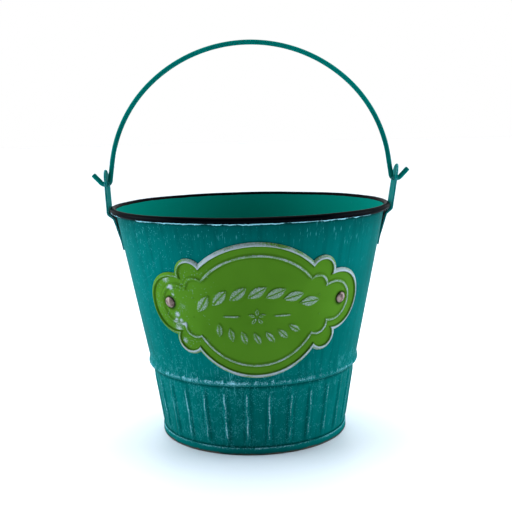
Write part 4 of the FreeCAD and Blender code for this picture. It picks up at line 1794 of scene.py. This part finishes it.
    def _masks(
        self, x: Array, y: Array, section: Array, front: Array, ridge: Array, near: Array,
        spray: Array, vein: Array, out: Array, back_rows: int,
    ) -> dict[Mask, Array]:
        """Where the plaque is rubbed and dirty.

        Args:
            x: Flat places across.
            y: Flat places up.
            section: The border's section (inset, lift).
            front: 1 on the rows inside the border.
            ridge: The raised line, 0 to 1.
            near: Distance from the raised line.
            spray: The leaves, 0 to 1.
            vein: Their veins.
            out: Distance from a rivet.
            back_rows: Number of rows before the border's.

        Returns:
            The masks.
        """
        bearing = np.arctan2(y, x)
        left_end = bell(bearing, math.pi, 0.25) + bell(bearing, -math.pi, 0.25)
        uneven = ripple(bearing, (5, 9, 17, 26), 8)
        count = len(section)
        inset = np.zeros(x.shape[0])
        inset[back_rows: back_rows + count] = section[:, 0]
        on_border = np.zeros(x.shape[0])
        on_border[back_rows: back_rows + count] = section[:, 1] > self.edge_lift + 0.05 * MM
        inset, on_border = inset[:, None], on_border[:, None]
        slope = on_border * (1.0 - smooth_step(inset, self.bevel + 0.2 * MM, self.border))
        crest = on_border * bell(inset, self.bevel + 0.1 * MM, 0.45 * MM)
        worn = np.interp(np.degrees(bearing), self.WORN_AT, self.WORN) + 0.3 * (uneven - 0.5)
        rub = slope * np.clip(worn, 0.0, 1.0) + crest * (0.34 - 0.25 * left_end)
        far_left = bell(bearing, math.pi, 0.42) + bell(bearing, -math.pi, 0.34)
        line = ridge * (0.58 + 0.25 * (uneven - 0.5) - 0.46 * far_left)
        tops = smooth_step(spray, 0.55, 0.95) * (0.56 - 0.25 * vein)
        chips = np.zeros_like(x)
        for place, size, depth in self.CHIPS:
            reach = np.hypot(x - place[0] * MM * self.scale, y - place[1] * MM * self.scale)
            chips = np.maximum(chips, 1.35 * depth * bell(reach, 0.0, size * MM))
        rub = rub + front * (np.maximum(line, tops) + chips)
        left = smooth_step(-x, 5.0 * MM, 45.0 * MM)
        # Painted shade beside the raised line, round the feet of the leaves and in the valley at the border's
        # foot; and a painted shadow of the gap round each rivet's head, darker on the side towards the
        # plaque's middle
        grooves = bell(near, self.line_width * 0.75, 0.35 * MM) * (1.0 - ridge) * 0.35
        side = np.sign(x)
        inward = np.clip(0.5 - side * (x - side * self.rivet_out * self.scale) / (4.0 * MM), 0.0, 1.0)
        ring = bell(out, 3.3 * MM, (0.45 + 0.65 * inward) * MM) * (0.7 + 0.3 * inward)
        around_leaf = smooth_step(spray, 0.02, 0.2) * (1.0 - smooth_step(spray, 0.3, 0.6)) * 0.25
        valley = on_border * bell(inset, self.border, 0.25 * MM) * 0.5
        return {
            Mask.RUB: rub,
            Mask.FLECK: front * (0.15 + 0.75 * left),
            Mask.GRIME: np.clip(front * (grooves + ring + around_leaf) + valley, 0.0, 1.0),
        }


@dataclass
class Rivet:
    """Domed rivet through plaque and wall."""

    plaque: Plaque
    side: Side
    shank: float = 1.2 * MM
    head: float = 2.95 * MM
    head_rise: float = 1.45 * MM
    head_edge: float = 0.3 * MM
    tail: float = 1.9 * MM
    tail_rise: float = 0.8 * MM
    tail_play: float = 0.05 * MM
    dent: float = 0.07 * MM
    columns: int = 64

    def pin(self) -> Surface:
        """Section of head, shank and tail turned about the rivet's own axis, then set square on the wall.

        Returns:
            The rivet. The dome is a quarter ellipse, dented a little by two uneven waves.
        """
        plaque = self.plaque
        seat = plaque.sheet - plaque.dimple_depth
        inside = -plaque.tin.sheet - self.tail_play
        quarter = np.linspace(0.0, math.pi / 2.0, 14)
        crown = self.head_rise - self.head_edge
        top = seat + self.head_edge + crown * np.cos(quarter)
        dome = np.stack([self.head * np.sin(quarter), top], axis=1)
        back = quarter[::-1]
        knob = np.stack([self.tail * np.sin(back), inside - self.tail_rise * np.cos(back)], axis=1)
        body = rounded_path(
            [tuple(dome[-1]), (self.head, seat), (self.shank, seat), (self.shank, inside), tuple(knob[0])],
            [0.1 * MM, 0.05 * MM, 0.05 * MM],
            3,
        )
        section = np.concatenate([dome, body[1:-1], knob])
        turn = full_circle(self.columns)
        radius, lift = section[:, :1], section[:, 1:]
        dent = self.dent * ripple(turn + 9.0 * radius / MM, (2, 3, 5), 6 + self.side.value)
        dent = dent * smooth_step(lift, seat + self.head_edge, seat + 0.8 * self.head_rise)
        across, up = radius * np.cos(turn), radius * np.sin(turn)
        x = self.side.value * plaque.rivet_out * plaque.scale
        foot, above = (plaque.wrap(*map(np.array, (x, 0.0, off))) for off in (0.0, 1.0))
        out = above - foot
        level = np.cross([0.0, 0.0, 1.0], out)
        level /= np.linalg.norm(level)
        rise = np.cross(out, level)
        grid = foot + across[..., None] * level + up[..., None] * rise + (lift - dent)[..., None] * out
        # Painted shade: the head darker towards its top, and a painted shadow under its edge at the seat
        dirt_and_shade = smooth_step(up, -0.4 * self.head, 0.9 * self.head) * 0.45 + bell(lift, seat, 0.35 * MM) * 0.6
        return Surface.capped(grid, {Mask.GRIME: dirt_and_shade})


# ---- Studio ----


@dataclass
class Studio:
    """Pale floor, soft tent of light and the camera."""

    # Soft square panels: place, aim, size in metres, power in watts and colour
    PANELS: ClassVar[dict[str, tuple[Colour, Colour, float, float, Colour]]] = {
        "top panel": ((0.0, 0.1, 1.1), (0.0, 0.0, 0.0), 0.9, 7.0, (1.0, 1.0, 1.0)),
        "left panel": ((-0.9, -0.02, 0.20), (0.0, 0.0, 0.05), 0.7, 8.4, (0.80, 0.96, 1.10)),
        "right panel": ((0.9, -0.02, 0.20), (0.0, 0.0, 0.05), 0.7, 6.8, (0.80, 0.96, 1.10)),
    }

    distance: float = 520.97 * MM
    eye: float = 180.27 * MM
    pitch: float = math.radians(8.684)
    yaw: float = math.radians(0.309)
    roll: float = math.radians(-1.243)
    focal: float = 1.7693  # focal length over the picture's width
    sensor: float = 36.0
    floor_size: float = 6.0
    ground: Colour = (0.87, 0.92, 0.98)
    sky: Colour = (0.93, 0.97, 1.0)
    backdrop: Colour = (1.0, 1.0, 1.0)
    front: float = 0.08
    back: float = 2.0
    turn_from: float = -0.45  # where the tent turns from its dim front to its bright back
    turn_to: float = 0.35

    def floor(self) -> None:
        """Pale ground: rings of a flat disc."""
        rings = np.array([0.0, 0.3, 0.8, self.floor_size])[:, None]
        angle = full_circle(64)
        grid = Tin.around(angle, rings, 0.0 * rings)
        mesh = bpy.data.meshes.new("floor")
        quads = grid_quads(len(rings), angle.size, False)
        mesh.from_pydata(grid.reshape(-1, 3).tolist(), [], quads.tolist())
        shading, material, surface = Shading.material("floor")
        shading.fill(surface, {"Base Color": self.ground, "Roughness": 0.5, "Specular IOR Level": 0.2})
        mesh.materials.append(material)
        placed("floor", mesh)

    def light(self) -> None:
        """White surroundings, dim in front, and three soft panels."""
        world = bpy.data.worlds.new("tent")
        world.use_nodes = True
        bpy.context.scene.world = world
        shading = Shading(world.node_tree)
        glow = world.node_tree.nodes["Background"]
        plain = shading.add("ShaderNodeBackground")
        shading.fill(plain, {"Color": self.backdrop})
        split = shading.add("ShaderNodeSeparateXYZ")
        shading.feed(split.inputs[0], shading.add("ShaderNodeTexCoord").outputs["Generated"])
        behind = shading.mask(split.outputs[1], self.turn_from, self.turn_to)
        shading.fill(glow, {"Strength": shading.blend(behind, self.front, self.back), "Color": self.sky})
        choose = shading.add("ShaderNodeMixShader")
        seen = shading.add("ShaderNodeLightPath").outputs["Is Camera Ray"]
        shading.fill(choose, {0: seen, 1: glow.outputs[0], 2: plain.outputs[0]})
        shading.feed(world.node_tree.nodes["World Output"].inputs["Surface"], choose.outputs[0])
        for name, (place, aim, size, power, colour) in self.PANELS.items():
            lamp = bpy.data.lights.new(name, "AREA")
            lamp.shape = "SQUARE"
            lamp.size = size
            lamp.energy = power
            lamp.color = colour
            turn = (Vector(place) - Vector(aim)).to_track_quat("Z", "Y").to_matrix().to_4x4()
            placed(name, lamp).matrix_world = Matrix.Translation(place) @ turn
        bpy.context.scene.view_settings.view_transform = "Standard"

    def camera(self) -> None:
        """Camera in front of the plaque, a little above the rim."""
        cos_yaw, sin_yaw = math.cos(self.yaw), math.sin(self.yaw)
        level = math.cos(self.pitch)
        ahead = np.array([sin_yaw * level, cos_yaw * level, -math.sin(self.pitch)])
        right = np.array([cos_yaw, -sin_yaw, 0.0])
        up = np.cross(right, ahead)
        tilted_right = right * math.cos(self.roll) + up * math.sin(self.roll)
        tilted_up = up * math.cos(self.roll) - right * math.sin(self.roll)
        matrix = np.eye(4)
        place = (0.0, -self.distance, self.eye)
        matrix[:3] = np.stack([tilted_right, tilted_up, -ahead, place], axis=1)
        lens = bpy.data.cameras.new("camera")
        lens.sensor_width = self.sensor
        lens.lens = self.focal * self.sensor
        lens.clip_start = 0.01
        eye = placed("camera", lens)
        eye.matrix_world = Matrix(matrix.tolist())
        bpy.context.scene.camera = eye


NO_SCRATCHES = 2.0  # a level that none reaches
TEAL = Paint("teal paint", (0.0, 0.115, 0.105), (0.0, 0.135, 0.125), rim=True)
TEAL_PAN = replace(TEAL, name="teal paint on the pan", rim=False, run_depth=0.0, drawn_level=NO_SCRATCHES)
TEAL_WIRE = Paint(
    "teal paint on the bail",
    (0.0, 0.15, 0.125),
    (0.0, 0.17, 0.145),
    fleck_share=0.1,
    drawn_level=NO_SCRATCHES,
    roughness=0.3,
)
# Lighter teal than the body's: the ears' own paint, lightened to paint the sheen of their faces seen at a
# grazing angle
TEAL_EAR_WITH_SHEEN = Paint(
    "teal paint on the ears",
    (0.0, 0.145, 0.135),
    (0.0, 0.17, 0.16),
    drawn_level=NO_SCRATCHES,
    speck_strength=0.4,
)
GREEN = Paint(
    "green paint",
    (0.064, 0.176, 0.011),
    (0.076, 0.204, 0.014),
    worn=(0.20, 0.29, 0.21),
    bright=(0.37, 0.42, 0.46),
    core_step=0.16,
    fleck=(0.17, 0.28, 0.17),
    dirt_and_shade=(0.012, 0.03, 0.002),
    metallic=0.1,
    fleck_share=0.5,
    fleck_scale=1500.0,
    fleck_squeeze=1.0,
    drawn_level=NO_SCRATCHES,
    speck_strength=0.6,
    run_depth=0.0,
    raggedness=1.7,
    rag_scale=2300.0,
)
STEEL = AgedMetal("steel wire", (0.40, 0.40, 0.41), (0.24, 0.24, 0.25))
BRONZED = AgedMetal("aged rivet", (0.30, 0.215, 0.19), (0.10, 0.06, 0.05))


def main() -> None:
    """Builds the bucket and its studio."""
    logging.basicConfig(level=logging.INFO, format="%(name)s: %(message)s")
    effects = Effects()
    tin = Tin()
    teal = TEAL.material(effects)
    wire_paint = TEAL_WIRE.material(effects)
    # the ears' teal, lightened to paint their sheen
    ear_paint_with_sheen = TEAL_EAR_WITH_SHEEN.material(effects)
    bronzed = BRONZED.material(effects)

    body = PailBody(tin)
    body.wall().put_in("pail_body", teal, "teal_paint", "pail_wall")
    body.lock_seam().put_in("lock_seam", teal, "teal_paint", "pail_wall")
    RimWire(tin).wire().put_in("rim_ring", STEEL.material(effects), "steel_wire", "rim_wire")
    BasePan(tin).pan().put_in("base", TEAL_PAN.material(effects), "teal_paint", "base_pan")
    ears = {side: Ear(tin, side) for side in Side}
    for side, ear in ears.items():
        name = side.name.lower()
        ear.strap().put_in(f"{name}_ear_strap", ear_paint_with_sheen, "teal_paint", f"{name}_ear")
    Bail(tin, ears).handle().put_in("bail_wire", wire_paint, "teal_paint", "bail")
    plaque = Plaque(tin)
    plaque.plate().put_in("embossed_plaque", GREEN.material(effects), "moss_green_paint", "plaque")
    for side in Side:
        name = side.name.lower()
        Rivet(plaque, side).pin().put_in(f"{name}_rivet", bronzed, "aged_rivet", f"{name}_plaque_rivet")

    studio = Studio()
    studio.floor()
    studio.light()
    studio.camera()


if __name__ == "__main__":
    main()
